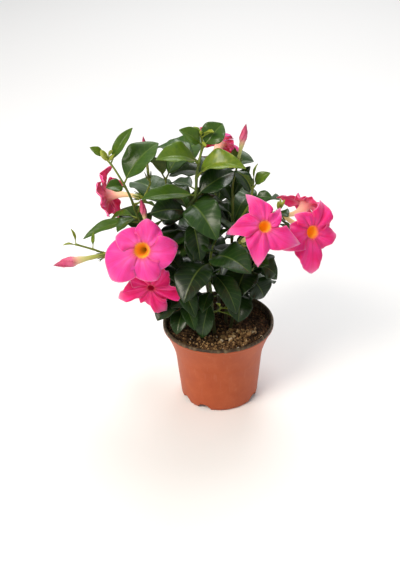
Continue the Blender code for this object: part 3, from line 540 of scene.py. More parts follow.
def leaf_surface(leaf, u, v):
    """A point of a leaf in metres: u runs across it, v along the petiole and the blade."""
    side = 2 * u - 1
    petiole_rows = 1 / leaf_rows(leaf)
    petiole_share = petiole_part(leaf)
    if v <= petiole_rows:
        share = petiole_share * v / petiole_rows
        half = PETIOLE_WIDTH / 2
    else:
        blade = (v - petiole_rows) / (1 - petiole_rows)
        share = petiole_share + (1 - petiole_share) * blade
        outline = blade ** LEAF_FOOT * max(0.0, 1 - blade) ** LEAF_TIP / LEAF_PEAK
        half = max(PETIOLE_WIDTH / 2 * (1 - blade), leaf["width"] / 2 * outline)
    rise = leaf["arch"] * leaf["length"] * 4 * share * (1 - share)
    fold = half * (LEAF_FOLD * abs(side) - LEAF_FLATTEN * side * side)
    return leaf["place"] @ (Vector((side * half, share * leaf["length"], rise + fold)) * MM)


def leaf_rows(leaf):
    """One row of faces for the petiole, and fewer for the blade of a small leaf."""
    return 3 if leaf["width"] < SMALL_LEAF_WIDTH else 4


def leaf_placed(leaf, lift, swing, stretch):
    """The leaf turned about its root by a lift and a swing in degrees."""
    reach = leaf["tip"] - leaf["root"]
    chord = reach.normalized()
    upward = Vector((0, 0, 1)) - chord * chord.z
    if upward.length < 0.05:
        upward = Vector((0, -1, 0))
    upward = (upward - chord * upward.dot(chord)).normalized()
    upward = Matrix.Rotation(math.radians(leaf["roll"]), 3, chord) @ upward
    across = chord.cross(upward)
    turn = (Matrix.Rotation(math.radians(lift), 3, across)
            @ Matrix.Rotation(math.radians(swing), 3, upward))
    columns = Matrix((turn @ across, turn @ chord, turn @ upward)).transposed().to_4x4()
    placed = dict(leaf)
    placed["length"] = reach.length * stretch
    placed["width"] = leaf["width"] * stretch
    placed["place"] = Matrix.Translation(leaf["root"] * MM) @ columns
    return placed


def leaf_tree(leaf, thickness, from_blade=False):
    """The leaf's coarse surface for the test of what it would cross."""
    rows = leaf_rows(leaf)
    start = 1 / rows if from_blade else 0
    bm = bmesh.new()
    lay(bm, 2, rows, lambda u, v: leaf_surface(leaf, u, start + (1 - start) * v))
    bmesh.ops.remove_doubles(bm, verts=bm.verts, dist=0.00001)
    bmesh.ops.triangulate(bm, faces=bm.faces)
    if thickness:
        bmesh.ops.translate(bm, vec=leaf["place"].to_3x3().col[2] * thickness * MM / 2,
                            verts=bm.verts)
        bmesh.ops.solidify(bm, geom=bm.faces, thickness=thickness * MM)
    tree = BVHTree.FromBMesh(bm)
    bm.free()
    return tree


def object_tree(thing):
    bm = bmesh.new()
    bm.from_mesh(thing.data)
    tree = BVHTree.FromBMesh(bm)
    bm.free()
    return tree


def nudges():
    """Lifts, swings and stretches to try in turn, the smallest first."""
    yield 0, 0, 1.0
    for size in (6, 12, 18, 26, 35):
        for lift, swing in ((1, 0), (0, 1), (0, -1), (-1, 0), (1, 1), (1, -1), (-1, 1),
                            (-1, -1)):
            yield lift * size, swing * size, 1.0 - size / 180


def settle(leaf, taken):
    """The leaf in the first place where it crosses nothing; None where there is none."""
    for lift, swing, stretch in nudges():
        placed = leaf_placed(leaf, lift, swing, stretch)
        whole = leaf_tree(placed, LEAF_CLEARANCE)
        blade = leaf_tree(placed, LEAF_CLEARANCE, from_blade=True)
        if not any((blade if owner == leaf["stem"] else whole).overlap(tree)
                   for owner, tree in taken):
            taken.append((leaf["stem"], leaf_tree(placed, 0)))
            return placed
    return None


def stem_leaves(stem, plan, shoots):
    """The leaves that the table gives a stem, its side shoots' leaves, and its pairs."""
    leaves = []
    lines = [(plan["points"], plan.get("leaves", []))] + shoots
    for points, entries in lines:
        for station, tip, width, roll, arch, age in entries:
            leaves.append({"stem": stem, "root": along(points, station), "tip": Vector(tip),
                           "width": width, "roll": roll, "arch": arch, "age": age})
    return leaves


def stem_pairs(stem, plan, draw):
    """Opposite pairs, each turned a right angle from the last; old leaves droop."""
    leaves = []
    if "pairs" not in plan:
        return leaves
    first, last, count, heading, length = plan["pairs"]
    for number in range(count):
        share = number / max(1, count - 1)
        root = along(plan["points"], first + (last - first) * share)
        for side in (0, 180):
            turn = math.radians(heading + 90 * number + side + draw.uniform(-14, 14))
            rise = math.radians(-12 + 45 * share + draw.uniform(-8, 8))
            reach = length * (1 - 0.25 * share) * draw.uniform(0.9, 1.08)
            tip = root + reach * Vector((math.cos(rise) * math.cos(turn),
                                         math.cos(rise) * math.sin(turn), math.sin(rise)))
            leaves.append({"stem": stem, "root": root, "tip": tip, "width": 0.66 * reach,
                           "roll": draw.uniform(-12, 12), "arch": 0.13,
                           "age": 0.95 - 0.45 * share})
    return leaves


def bloom_axes(bloom):
    """The way the flower looks, and its right and its upward direction across that."""
    out = Vector(bloom["facing"]).normalized()
    right = Vector((0, 0, 1)).cross(out).normalized()
    return out, right, out.cross(right)


def tube_bend(bloom):
    """The point that the flower's curved tube steers by."""
    mouth, foot = Vector(bloom["mouth"]), Vector(bloom["foot"])
    return mouth - Vector(bloom["facing"]).normalized() * 0.5 * (mouth - foot).length


def funnel_surface(bloom, u, v):
    """The flower's tube and throat: u runs round it, v from its closed foot to the mouth."""
    out, right, up = bloom_axes(bloom)
    mouth, foot, bend = Vector(bloom["mouth"]), Vector(bloom["foot"]), tube_bend(bloom)
    first = 1 / FUNNEL_ROWS
    share = max(0.0, (v - first) / (1 - first))
    heading = ((bend - foot) * (1 - share) + (mouth - bend) * share).normalized()
    centre = foot * (1 - share) ** 2 + bend * 2 * share * (1 - share) + mouth * share ** 2
    if v < first / 2:
        return (centre - heading * FOOT_BULGE) * MM
    mouth_radius = MOUTH_RADIUS * bloom["throat"]
    radius = bloom["size"] * (TUBE_RADIUS + (mouth_radius - TUBE_RADIUS) * share ** FUNNEL_CURVE)
    turn = math.radians(bloom["spin"] - PETAL_ANGLE / 2 + 360 * u)
    ring = out.rotation_difference(heading) @ towards(right, up, turn)
    return (centre + ring * radius) * MM


def petal_surface(bloom, number, u, v):
    """A petal: u runs across it, v from the mouth to its edge, which is longer on one side."""
    out, right, up = bloom_axes(bloom)
    side = 2 * u - 1
    point = bloom["point"]
    reach, curl, pinch = bloom["petals"][number]
    if side > TIP_SIDE:
        off_tip = (side - TIP_SIDE) / (1 - TIP_SIDE)
    else:
        off_tip = (TIP_SIDE - side) / (1 + TIP_SIDE)
    edge = LIMB_RADIUS * reach * (1 - (0.24 + 0.2 * point) * off_tip ** (1.8 - 1.1 * point))
    mouth_radius = MOUTH_RADIUS * bloom["throat"]
    radius = mouth_radius + (edge - mouth_radius) * v
    spread = PETAL_ANGLE / 2 * side * (1 + 0.2 * v) * (1 - pinch * v)
    turn = math.radians(bloom["spin"] + PETAL_ANGLE * number + spread + 7 * v)
    out_share = (radius - mouth_radius) / (LIMB_RADIUS - mouth_radius)
    height = (8.0 * out_share - 7.0 * out_share ** 2 + 2.8 * side * out_share
              - 2.6 * side * side * out_share - curl * out_share ** 3)
    across = towards(right, up, turn) * radius
    return (Vector(bloom["mouth"]) + (across + out * height) * bloom["size"]) * MM


def between(bm, root, tip, name, group):
    """The object of an upright mesh that is moved to lie between two points."""
    reach = tip - root
    turn = reach.to_track_quat("Z", "Y").to_matrix().to_4x4()
    place = Matrix.Translation((root + reach / 2) * MM) @ turn
    bmesh.ops.transform(bm, matrix=place, verts=bm.verts)
    return object_from_bmesh(name, bm, group)


def spike(root, tip, width, group):
    """A slim pointed sepal with three sides."""
    bm = bmesh.new()
    bmesh.ops.create_cone(bm, cap_ends=True, segments=3, radius1=width / 2 * MM,
                          radius2=0, depth=(tip - root).length * MM)
    return between(bm, root, tip, "spike", group)


def small_bud(root, tip, radius, group):
    """A little round-sided bud: a ball drawn out to a point."""
    bm = bmesh.new()
    bmesh.ops.create_uvsphere(bm, u_segments=6, v_segments=4, radius=MM)
    bmesh.ops.scale(bm, vec=(radius, radius, (tip - root).length / 2 + radius), verts=bm.verts)
    return between(bm, root, tip, "small_bud", group)


def carried(name):
    """Where a flower or bud starts, the way it points, and its radius there."""
    if name in BLOOMS:
        bloom = BLOOMS[name]
        out = (tube_bend(bloom) - Vector(bloom["foot"])).normalized()
        end = Vector(bloom["foot"]) - out * (FOOT_BULGE + PETAL_THICKNESS / 2)
        return end, out, TUBE_RADIUS * bloom["size"] + PETAL_THICKNESS / 2
    root, tip, radius = BUDS[name]
    return Vector(root), (Vector(tip) - Vector(root)).normalized(), BUD_FOOT * radius


def sepal_ways(out):
    """The directions of the sepals, evenly round the one that is given."""
    side = out.orthogonal().normalized()
    return [Matrix.Rotation(math.radians(PETAL_ANGLE * number), 3, out) @ side
            for number in range(PETALS)]


def stalk(points, name, group):
    """A flower stalk that widens under what it carries, with five sepals round that."""
    foot, out, radius = carried(name)
    end = foot - out * GAP
    line = smooth_line(points + [tuple(end - out * 8), tuple(end - out * 2.5)])
    pieces = [tube("stalk", line + [end], [STALK_RADIUS] * len(line) + [radius + 1.9], 0,
                   group)]
    for way in sepal_ways(out):
        root = end - out * 0.8 + way * (radius + 0.7)
        tip = end + out * (SEPAL_LENGTH - 1) + way * (radius + 2.8)
        pieces.append(spike(root, tip, SEPAL_WIDTH, group))
    return pieces


def shoot_points(plan):
    """Each side shoot's points, which start on the stem."""
    return [([tuple(along(plan["points"], station))] + points, leaves)
            for station, points, leaves in plan.get("shoots", [])]


def stalk_points(plan, shoots):
    """Each flower stalk's points, which start on the stem or on a side shoot, and its flower."""
    for station, points, name in plan.get("stalks", []):
        line = plan["points"]
        if isinstance(station, tuple):
            line, station = shoots[station[0]][0], station[1]
        yield [tuple(along(line, station))] + points, name


def stem_woody_parts(plan, group):
    """The stem, its side shoots, flower stalks and small buds."""
    thick, thin = plan["radius"]
    line = smooth_line(plan["points"])
    radii = [thick + (thin - thick) * number / (len(line) - 1) for number in range(len(line))]
    pieces = [tube("stem", line, radii, 2, group)]
    shoots = shoot_points(plan)
    for points, leaves in shoots:
        line = smooth_line(points)
        pieces.append(tube("shoot", line, [STALK_RADIUS] * len(line), 0, group))
    for points, name in stalk_points(plan, shoots):
        pieces += stalk(points, name, group)
    for station, tip, radius in plan.get("small_buds", []):
        pieces.append(small_bud(along(plan["points"], station), Vector(tip), radius, group))
    return pieces, shoots


def add(tree, kind, settings=None, links=None):
    """A shader node with its settings, socket values, colour stops and links."""
    made = tree.nodes.new("ShaderNode" + kind)
    for name, value in (settings or {}).items():
        if name == "stops":
            stops = made.color_ramp.elements
            while len(stops) < len(value):
                stops.new(0.5)
            for stop, (place, colour) in zip(stops, value):
                stop.position = place
                stop.color = linear(colour)
        elif isinstance(name, str) and name[0].islower():
            setattr(made, name, value)
        else:
            made.inputs[name].default_value = value
    for name, source in (links or {}).items():
        tree.links.new(source, made.inputs[name])
    return made


def spot(tree):
    """The place on the object, in metres."""
    return add(tree, "TexCoord").outputs["Object"]


def marked(tree, *names):
    """The values that the mesh's points carry under these names."""
    return [add(tree, "Attribute", {"attribute_name": name}).outputs["Fac"] for name in names]


def maths(tree, operation, *terms, **settings):
    """One or two terms, each a number or another node's value, taken together."""
    numbers = {place: term for place, term in enumerate(terms) if isinstance(term, float)}
    links = {place: term for place, term in enumerate(terms) if place not in numbers}
    return add(tree, "Math", {"operation": operation, **settings, **numbers}, links).outputs[0]


def ranged(tree, source, to, start=(0.0, 1.0), curve="LINEAR"):
    """A value carried from one range to another, and no further."""
    return add(tree, "MapRange", {
        "interpolation_type": curve, "From Min": start[0], "From Max": start[1],
        "To Min": to[0], "To Max": to[1]}, {"Value": source}).outputs[0]


def noisy(tree, source, scale, detail, roughness=0.5):
    return add(tree, "TexNoise", {"Scale": scale, "Detail": detail, "Roughness": roughness},
               {"Vector": source}).outputs[0]


def stretched(tree, source, scale):
    return add(tree, "Mapping", {"Scale": scale}, {"Vector": source}).outputs[0]


def ramp(tree, source, stops):
    return add(tree, "ValToRGB", {"stops": stops}, {0: source}).outputs[0]


def blend(tree, factor, first, second, kind="MIX"):
    """Two colours mixed by a factor; the second is a hex colour or another node's colour."""
    settings = {"data_type": "RGBA", "blend_type": kind}
    links = {0: factor, 6: first}
    if isinstance(second, str):
        settings[7] = linear(second)
    else:
        links[7] = second
    return add(tree, "Mix", settings, links).outputs[2]


def bumped(tree, height, strength, distance):
    return add(tree, "Bump", {"Strength": strength, "Distance": distance},
               {"Height": height}).outputs[0]


def finish_of(name, **sockets):
    """A new material, its node tree and its shader, with the sockets that are constant."""
    made = bpy.data.materials.new(name)
    made.use_nodes = True
    shader = made.node_tree.nodes["Principled BSDF"]
    for socket, value in sockets.items():
        shader.inputs[socket.replace("_", " ")].default_value = value
    return made, made.node_tree, shader


def finished(made, tree, shader, **looks):
    """The material, with each named socket of its shader linked to a node's output."""
    for socket, source in looks.items():
        tree.links.new(source, shader.inputs[socket.replace("_", " ")])
    return made


def waxy_leaf(name, stops, vein_colour, roughness, coat):
    """A waxy leaf: young ones yellow-green, old ones dark, with a pale midrib and sunk veins."""
    made, tree, shader = finish_of(name, Coat_Weight=coat, Coat_Roughness=0.2,
                                   Specular_IOR_Level=0.24)
    age, run, side = marked(tree, "age", "run", "side")
    mottle = noisy(tree, spot(tree), LEAF_MOTTLE, 3.0)
    base = ramp(tree, maths(tree, "ADD", age, ranged(tree, mottle, (-0.16, 0.16))), stops)
    out = maths(tree, "ABSOLUTE", side)
    phase = maths(tree, "SUBTRACT", maths(tree, "MULTIPLY", run, float(VEIN_PAIRS)),
                  maths(tree, "MULTIPLY", out, VEIN_SLANT))
    lateral = ranged(tree, maths(tree, "PINGPONG", phase, 0.5), (0.1, 0.0), (0.0, 0.09),
                     "SMOOTHSTEP")
    midrib = ranged(tree, out, (0.27, 0.0), (0.02, 0.07), "SMOOTHSTEP")
    veins = maths(tree, "MAXIMUM", lateral, midrib)
    # skin cells under a millimetre across, coarser than real ones so that they show
    skin = bumped(tree, noisy(tree, spot(tree), LEAF_CELLS, 2.0), 0.25, 0.0002)
    sunk = add(tree, "Bump", {"Strength": 0.5, "Distance": 0.0005, "invert": True},
               {"Height": veins, "Normal": skin}).outputs[0]
    return finished(made, tree, shader, Base_Color=blend(tree, veins, base, vein_colour),
                    Roughness=ranged(tree, mottle, (roughness - 0.07, roughness + 0.1)),
                    Normal=sunk)


def green_stem():
    """Smooth stem skin: olive and soft at the tips, dark and corky towards the soil."""
    made, tree, shader = finish_of("green_stem_skin", Roughness=0.5)
    mottle = noisy(tree, stretched(tree, spot(tree), (1.0, 1.0, 0.2)), BARK, 4.0)
    aged = maths(tree, "ADD", *marked(tree, "age"), ranged(tree, mottle, (-0.14, 0.14)))
    colour = ramp(tree, aged, [
        (0.0, "A9B23C"), (0.25, "78882E"), (0.5, "55682A"), (0.8, "3D4A24"), (1.0, "4A3E2A")])
    return finished(made, tree, shader, Base_Color=colour,
                    Normal=bumped(tree, mottle, 0.4, 0.0003))


def petal_tissue(name, pale_stops, deep_stops, sheen):
    """Soft petal tissue, whose colour runs from the tube to the petal's edge.

    Creases by the throat are a painted deeper red that stands in for shade, the rim is pale, and
    the thin tube glows with painted light that stands in for light coming through its wall.
    """
    made, tree, shader = finish_of(name, Roughness=0.5, Sheen_Weight=sheen,
                                   Specular_IOR_Level=0.2, Subsurface_Weight=0.4,
                                   Subsurface_Scale=0.003)
    run, tone, side, crease, rim = marked(tree, "run", "tone", "side", "crease", "rim")
    # fine veins fan out along the petal, about 1.2 mm apart
    fan = add(tree, "CombineXYZ", links={0: side, 1: run, 2: tone}).outputs[0]
    veins = noisy(tree, stretched(tree, fan, (26.0, 1.6, 9.0)), 1.0, 3.0)
    cloud = noisy(tree, spot(tree), PETAL_CLOUD, 2.0)
    along_run = maths(tree, "ADD", run, ranged(tree, veins, (-0.05, 0.05)))
    uneven = ranged(tree, maths(tree, "ADD", cloud, veins), (-0.5, 0.5), (0.5, 1.5))
    depth = maths(tree, "ADD", tone, uneven, use_clamp=True)
    colour = blend(tree, depth, ramp(tree, along_run, pale_stops),
                   ramp(tree, along_run, deep_stops))
    # painted shade: petals turn deep red where they meet and fold near the throat
    colour = blend(tree, rim, blend(tree, crease, colour, "B80F45"), "FF9CC8")
    # painted light: the tube glows by emission, standing in for light that comes through its thin
    # wall
    painted_glow = ranged(tree, run, (PAINTED_THROAT_GLOW, 0.0), (0.3, 0.5), "SMOOTHSTEP")
    return finished(made, tree, shader, Base_Color=colour, Emission_Color=colour,
                    Emission_Strength=painted_glow, Normal=bumped(tree, veins, 0.35, 0.0005))


def furled_bud():
    """A furled bud: cream-green tube below, petals wound to a pink point above."""
    made, tree, shader = finish_of("furled_bud_tissue", Roughness=0.5, Sheen_Weight=0.15,
                                   Subsurface_Weight=0.1, Subsurface_Scale=0.002)
    run, seam = marked(tree, "run", "side")
    mottle = noisy(tree, spot(tree), BUD_MOTTLE, 3.0)
    along_run = maths(tree, "ADD", run, ranged(tree, mottle, (-0.06, 0.06)))
    base = ramp(tree, along_run, [
        (0.0, "8C9C40"), (0.25, "AFB75C"), (0.42, "D2CE86"), (0.54, "E4B596"), (0.64, "DA6A8C"),
        (0.82, "C93F70"), (1.0, "9E2C50")])
    return finished(made, tree, shader,
                    Base_Color=blend(tree, seam, base, "C77A8E", "MULTIPLY"))


def moulded_polypropylene():
    """Terracotta-coloured polypropylene: satin, a little dusty, its lip dark grey-brown, and its
    inner side painted dark as shade.
    """
    made, tree, shader = finish_of("moulded_polypropylene", IOR=1.49,
                                   Specular_IOR_Level=0.25)
    place = spot(tree)
    x, y, z = add(tree, "SeparateXYZ", links={0: place}).outputs
    dust = noisy(tree, place, POT_DUST, 5.0, 0.65)
    scuffs = noisy(tree, stretched(tree, place, (1.0, 1.0, 0.12)), POT_SCUFFS, 4.0)
    scuffed = ranged(tree, scuffs, (0.0, 0.16), (0.58, 0.8), "SMOOTHSTEP")
    wall = ramp(tree, dust, [(0.3, "A84C28"), (0.55, "B15530"), (0.8, "BB633E")])
    wall = blend(tree, scuffed, wall, "CC9373")
    specks = add(tree, "TexVoronoi", {"Scale": POT_SPECKS}, {"Vector": place})
    speck = ranged(tree, specks.outputs["Distance"], (0.8, 0.0), (0.02, 0.05))
    soiled = maths(tree, "MULTIPLY", speck, maths(tree, "GREATER_THAN", dust, 0.62))
    wall = blend(tree, soiled, wall, "3A2218")
    height = maths(tree, "ADD", z, ranged(tree, scuffs, (-0.0012, 0.0012)))
    lip_foot = POT_HEIGHT - LIP_HEIGHT
    lip = ranged(tree, height, (0.0, 1.0), ((lip_foot + 1.2) * MM, (lip_foot + 2.2) * MM),
                 "SMOOTHSTEP")
    # painted shade: the wall's inner side, which faces the pot's axis, is painted as dark as the lip
    outward = add(tree, "CombineXYZ", links={0: x, 1: y}).outputs[0]
    turned = add(tree, "VectorMath", {"operation": "DOT_PRODUCT"},
                 {0: add(tree, "NewGeometry").outputs["Normal"], 1: outward})
    inner = maths(tree, "LESS_THAN", turned.outputs["Value"], -0.01)
    # the lip's dark grey-brown, also used as painted shade on the inner side
    dark_lip_and_painted_inner_shade = ramp(tree, scuffs, [(0.35, "33271C"), (0.55, "52422F"), (0.75, "7C6A50")])
    return finished(made, tree, shader,
                    Base_Color=blend(tree, maths(tree, "MAXIMUM", lip, inner), wall, dark_lip_and_painted_inner_shade),
                    Roughness=ranged(tree, dust, (0.36, 0.62)),
                    Normal=bumped(tree, scuffs, 0.12, 0.0004))


def peat_mix():
    """Moist peat with coir fibre: nearly black crumbs, tan chips and white perlite."""
    made, tree, shader = finish_of("peat_potting_mix", Roughness=0.92, Specular_IOR_Level=0.15)
    grit = noisy(tree, spot(tree), PEAT_GRIT, 4.0, 0.7)
    mixed = maths(tree, "ADD", *marked(tree, "tone"), ranged(tree, grit, (-0.12, 0.12)),
                  use_clamp=True)
    colour = ramp(tree, mixed, [
        (0.0, "1A120C"), (0.25, "3A291C"), (0.45, "684C33"), (0.7, "A98558"), (0.85, "D0B284"),
        (0.96, "F0E8DA")])
    return finished(made, tree, shader, Base_Color=colour,
                    Normal=bumped(tree, grit, 0.8, 0.0006))


def new_mesh(*marks):
    """An empty mesh whose points can carry the named values."""
    bm = bmesh.new()
    for name in marks:
        bm.verts.layers.float.new(name)
    return bm


def piece(name, bm, node, materials, thickness=0.0, edge=0):
    """A finished piece: its seams are closed, and a sheet gets its thickness and its edge."""
    bmesh.ops.remove_doubles(bm, verts=bm.verts, dist=0.000002)
    made = object_from_bmesh(name, bm)
    for material in materials:
        made.data.materials.append(material)
    if thickness:
        solid = made.modifiers.new("thickness", "SOLIDIFY")
        solid.thickness = thickness * MM
        solid.offset = 0
        solid.material_offset = len(materials) - 1
        solid.material_offset_rim = edge
        made = frozen(made, name)
        made.name = name
    made.data.shade_smooth()
    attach(made, "root")
    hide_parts(node)
    return made


def fine_line(points):
    """Closely spaced points of the same curve."""
    return smooth_line(points, TUBE_STEP, 4)


def fine_tube(bm, line, radii, sides, **marks):
    """A round stem through the points of a line, closed at both ends."""
    side = (line[1] - line[0]).orthogonal().normalized()
    rings = []
    for number, place in enumerate(line):
        ahead = (line[min(number + 1, len(line) - 1)] - line[max(number - 1, 0)]).normalized()
        side = (side - ahead * side.dot(ahead)).normalized()
        rings.append((place, side, ahead.cross(side), radii[number]))
    rings = [(*rings[0][:3], 0)] + rings + [(*rings[-1][:3], 0)]

    def shape(u, v):
        place, across, up, radius = rings[round(v * (len(rings) - 1))]
        turn = 2 * math.pi * u
        return (place + towards(across, up, turn) * radius) * MM

    lay(bm, sides, len(rings) - 1, shape, **marks)


def blade_point(leaf, side, share, drop):
    """A point of a leaf at a share of its length and a side from -1 to 1."""
    petiole_share = petiole_part(leaf)
    blade = max(0.0, (share - petiole_share) / (1 - petiole_share))
    young = max(0.0, 1 - leaf["shown_age"] / YOUNG_AGE)
    narrow = max(0.0, 1 - blade) ** (FINE_TIP + 0.15 * young)
    outline = blade ** LEAF_FOOT * narrow / FINE_PEAK
    half = max(0.35, leaf["width"] / 2 * outline * (FULLER - 0.16 * young))
    rise = leaf["arch"] * leaf["length"] * 4 * share * (1 - share)
    fold = half * ((LEAF_FOLD + YOUNG_FOLD * young) * math.sqrt(side * side + 0.004)
                   - LEAF_FLATTEN * side * side)
    wave = MARGIN_WAVE * half * abs(side) ** 3 * math.sin(
        2 * math.pi * (2.3 * blade + leaf["phase"] + 0.25 * (side > 0)))
    vein = (blade * VEIN_PAIRS - VEIN_SLANT * abs(side)) % 1.0
    relief = VEIN_RELIEF * min(1, half / 8) * (math.sin(math.pi * vein) ** 0.6 - 0.6)
    relief *= min(1.0, 6 * abs(side)) * (1 - abs(side) ** 6)
    droop = TIP_DROOP * leaf["length"] * share ** 3
    bow = SIDE_BOW * leaf["length"] * math.sin(math.pi * share) * (leaf["phase"] * 2 - 1)
    up = rise + fold + wave + relief - droop - drop
    return leaf["place"] @ (Vector((side * half + bow, share * leaf["length"], up)) * MM)


def fine_leaf(leaf, blades, wood):
    """A leaf's blade, and its petiole that runs on under the blade as the midrib."""
    petiole_share = petiole_part(leaf)
    across = 6 + 2 * round(leaf["width"] / 5)
    rows = 12 + round(leaf["length"] / 1.9)
    start = petiole_share * 0.92

    def shape(u, v):
        return blade_point(leaf, 2 * u - 1, start + (1 - start) * v, 0)

    lay(blades, across, rows, shape, age=leaf["shown_age"], run=lambda u, v: v,
        side=lambda u, v: 2 * u - 1)
    steps = 16
    line = []
    radii = []
    for step in range(steps + 1):
        share = 0.9 * step / steps
        line.append(blade_point(leaf, 0, share, 0.35) / MM)
        radii.append(max(0.3, 1.05 - 0.9 * share) * min(1, 0.45 + leaf["width"] / 30))
    fine_tube(wood, line, radii, THIN_TUBE_SIDES, age=0.15 + 0.45 * leaf["shown_age"])


def stem_radius(place, radius, roots):
    """The stem's radius, which swells where a leaf joins it."""
    near = min(((place - root).length for root in roots), default=99)
    return radius * (1 + 0.22 * math.exp(-(near / 2.6) ** 2))


def fine_stem(stem, plan, shoots, settled):
    """One leafy stem's two pieces: its green wood, and its blades."""
    wood = new_mesh("age")
    blades = new_mesh("age", "run", "side")
    mine = [leaf for leaf in settled if leaf["stem"] == stem]
    roots = [leaf["root"] for leaf in mine]
    thick, thin = plan["radius"]
    line = fine_line(plan["points"])
    radii = [stem_radius(place, thick + (thin - thick) * number / (len(line) - 1), roots)
             for number, place in enumerate(line)]
    fine_tube(wood, line, radii, TUBE_SIDES, age=lambda u, v: 1.0 - 0.85 * v)
    for points, leaves in shoots:
        line = fine_line(points)
        radii = [stem_radius(place, STALK_RADIUS, roots) for place in line]
        fine_tube(wood, line, radii, TUBE_SIDES, age=0.3)
    for points, name in stalk_points(plan, shoots):
        fine_stalk(wood, points, name)
    for station, tip, radius in plan.get("small_buds", []):
        fine_bud(wood, along(plan["points"], station), Vector(tip), radius * 1.15)
    for leaf in mine:
        fine_leaf(leaf, blades, wood)
    piece(stem + "_wood", wood, stem, [STEM_SKIN])
    piece(stem + "_blades", blades, stem, [LEAF_UPPER, LEAF_UNDER],
          BLADE_THICKNESS)


def fine_stalk(bm, points, name):
    """A flower stalk that widens into the cup that the flower sits in, and five sepals."""
    foot, out, radius = carried(name)
    end = foot - out * GAP
    line = fine_line(points + [tuple(end - out * 8), tuple(end - out * 2.5)]) + [end]
    widen = [0.0] * (len(line) - 3) + [0.15, 0.6, 1.0]
    radii = [STALK_RADIUS + (radius + 0.9 - STALK_RADIUS) * share for share in widen]
    fine_tube(bm, line, radii, TUBE_SIDES, age=0.12)
    for way in sepal_ways(out):
        line = []
        radii = []
        for step in range(9):
            share = step / 8
            reach = radius + 0.7 + 0.5 * math.sin(math.pi * share) + 2.1 * share * share
            line.append(end + out * (SEPAL_LENGTH * share - 0.8) + way * reach)
            radii.append(SEPAL_WIDTH / 2 * (1 - share) ** 0.7 + 0.08)
        fine_tube(bm, line, radii, THIN_TUBE_SIDES, age=lambda u, v: 0.2 + 0.5 * v)


def fine_bud(bm, root, tip, radius):
    """A little pointed bud or growing tip."""
    steps = 12
    line = [root + (tip - root) * step / steps for step in range(steps + 1)]
    radii = [radius * math.sin(math.pi * (0.12 + 0.88 * step / steps)) ** 0.8 + 0.05
             for step in range(steps + 1)]
    fine_tube(bm, line, radii, TUBE_SIDES, age=0.1)


def fine_petal(bloom, number, u, v, ruffle, tip):
    """The solid's petal with a ruffled edge, folds along it and a tip drawn out and curled.

    Towards its edge it is a little wider than the solid's, so that it overlaps the next one.
    """
    out = Vector(bloom["facing"]).normalized()
    side = 2 * u - 1
    turn = 0.37 * number + bloom["spin"]
    pointed = bloom["point"]
    wave = ruffle * RUFFLE * v ** 2.2 * math.sin(2 * math.pi * (0.95 * side + turn))
    fine = FINE_RUFFLE * ruffle * v ** 3 * math.sin(2 * math.pi * (2.6 * side + 1.7 * turn))
    folds = FOLD_DEPTH * v * (1 - 0.8 * v) * math.cos(2.5 * math.pi * side + 4 * turn)
    groove = math.exp(-((side - GROOVE_SIDE) / 0.17) ** 2)
    groove *= -(2 + 6 * pointed) * v * (1 - 0.75 * v)
    roll = -EDGE_ROLL * v ** 8
    tail = tip * petal_tip(u) * v ** 7
    lift = (wave + fine + folds + groove + roll - TIP_DROP * tail) * bloom["size"] * MM
    wide = 0.5 + (u - 0.5) * (1 + OVERLAP * v * (1 - pointed))
    place = petal_surface(bloom, number, wide, v)
    ahead = place - Vector(bloom["mouth"]) * MM
    ahead = (ahead - out * ahead.dot(out)).normalized()
    drawn = (ahead * TIP_REACH + out.cross(ahead) * TIP_TWIST) * (tail * bloom["size"] * MM)
    return place + out * lift + drawn


def petal_tip(u):
    """How near a place across a petal is to the petal's tip, which lies off its middle."""
    return max(0.0, 1 - abs(2 * u - (1 + TIP_SIDE)) / 0.36) ** 1.2


def crease(u, v):
    """Painted shade: deep red where two petals meet near the throat, in the fold along a petal, and
    at its foot.
    """
    side = 2 * u - 1
    meeting = 0.9 * max(0.0, (abs(side) - 0.55) / 0.45) ** 1.3 * (1 - v) ** 0.7
    fold = 0.5 * math.exp(-((side - GROOVE_SIDE) / 0.08) ** 2) * (1 - v) ** 0.8
    throat = 0.45 * max(0.0, 1 - v / 0.22) ** 1.5
    return max(meeting, fold, throat)


def pale_rim(u, v, tip):
    """A pale line along a petal's free edges, and a pale drawn-out tip."""
    edge = 0.6 * max(v ** 60, 0.5 * abs(2 * u - 1) ** 40 * v)
    return max(edge, 0.9 * tip * petal_tip(u) * v ** 10)


def fine_bloom(name, bloom):
    """A flower: the tube and throat, and five ruffled petals in one sheet."""
    tone, ruffle, tip = BLOOM_TONES[name]
    bm = new_mesh("run", "side", "tone", "crease", "rim")
    # painted shade: a narrow throat's tube is painted deep red all over
    lay(bm, PETALS * PETAL_ACROSS, FUNNEL_ROWS, lambda u, v: funnel_surface(bloom, u, v),
        run=lambda u, v: 0.5 * v, side=lambda u, v: 2 * PETALS * u % 2 - 1, tone=tone,
        crease=1.0 if bloom["throat"] < 0.5 else 0.0)
    for number in range(PETALS):
        lay(bm, PETAL_ACROSS, PETAL_ROWS,
            lambda u, v: fine_petal(bloom, number, u, v, ruffle, tip),
            run=lambda u, v: 0.5 + 0.5 * v, side=lambda u, v: 2 * u - 1, tone=tone,
            crease=crease, rim=lambda u, v: pale_rim(u, v, tip))
    bmesh.ops.remove_doubles(bm, verts=bm.verts, dist=0.00001)
    piece(name + "_petals", bm, name, [PETAL_BACK, PETAL_UPPER], PETAL_SHEET, 1)


def bud_width(share):
    """How wide a bud is at a share of its length, against its widest."""
    stops = [(0, BUD_FOOT), (0.3, 0.5), (0.5, 0.75), (0.64, 1.0), (0.78, 0.85), (0.9, 0.45),
             (1, 0.0)]
    for (low, first), (high, second) in zip(stops, stops[1:]):
        if share <= high:
            part = (share - low) / (high - low)
            return first + (second - first) * (part if high == 1 else
                                               part * part * (3 - 2 * part))
    return 0.0


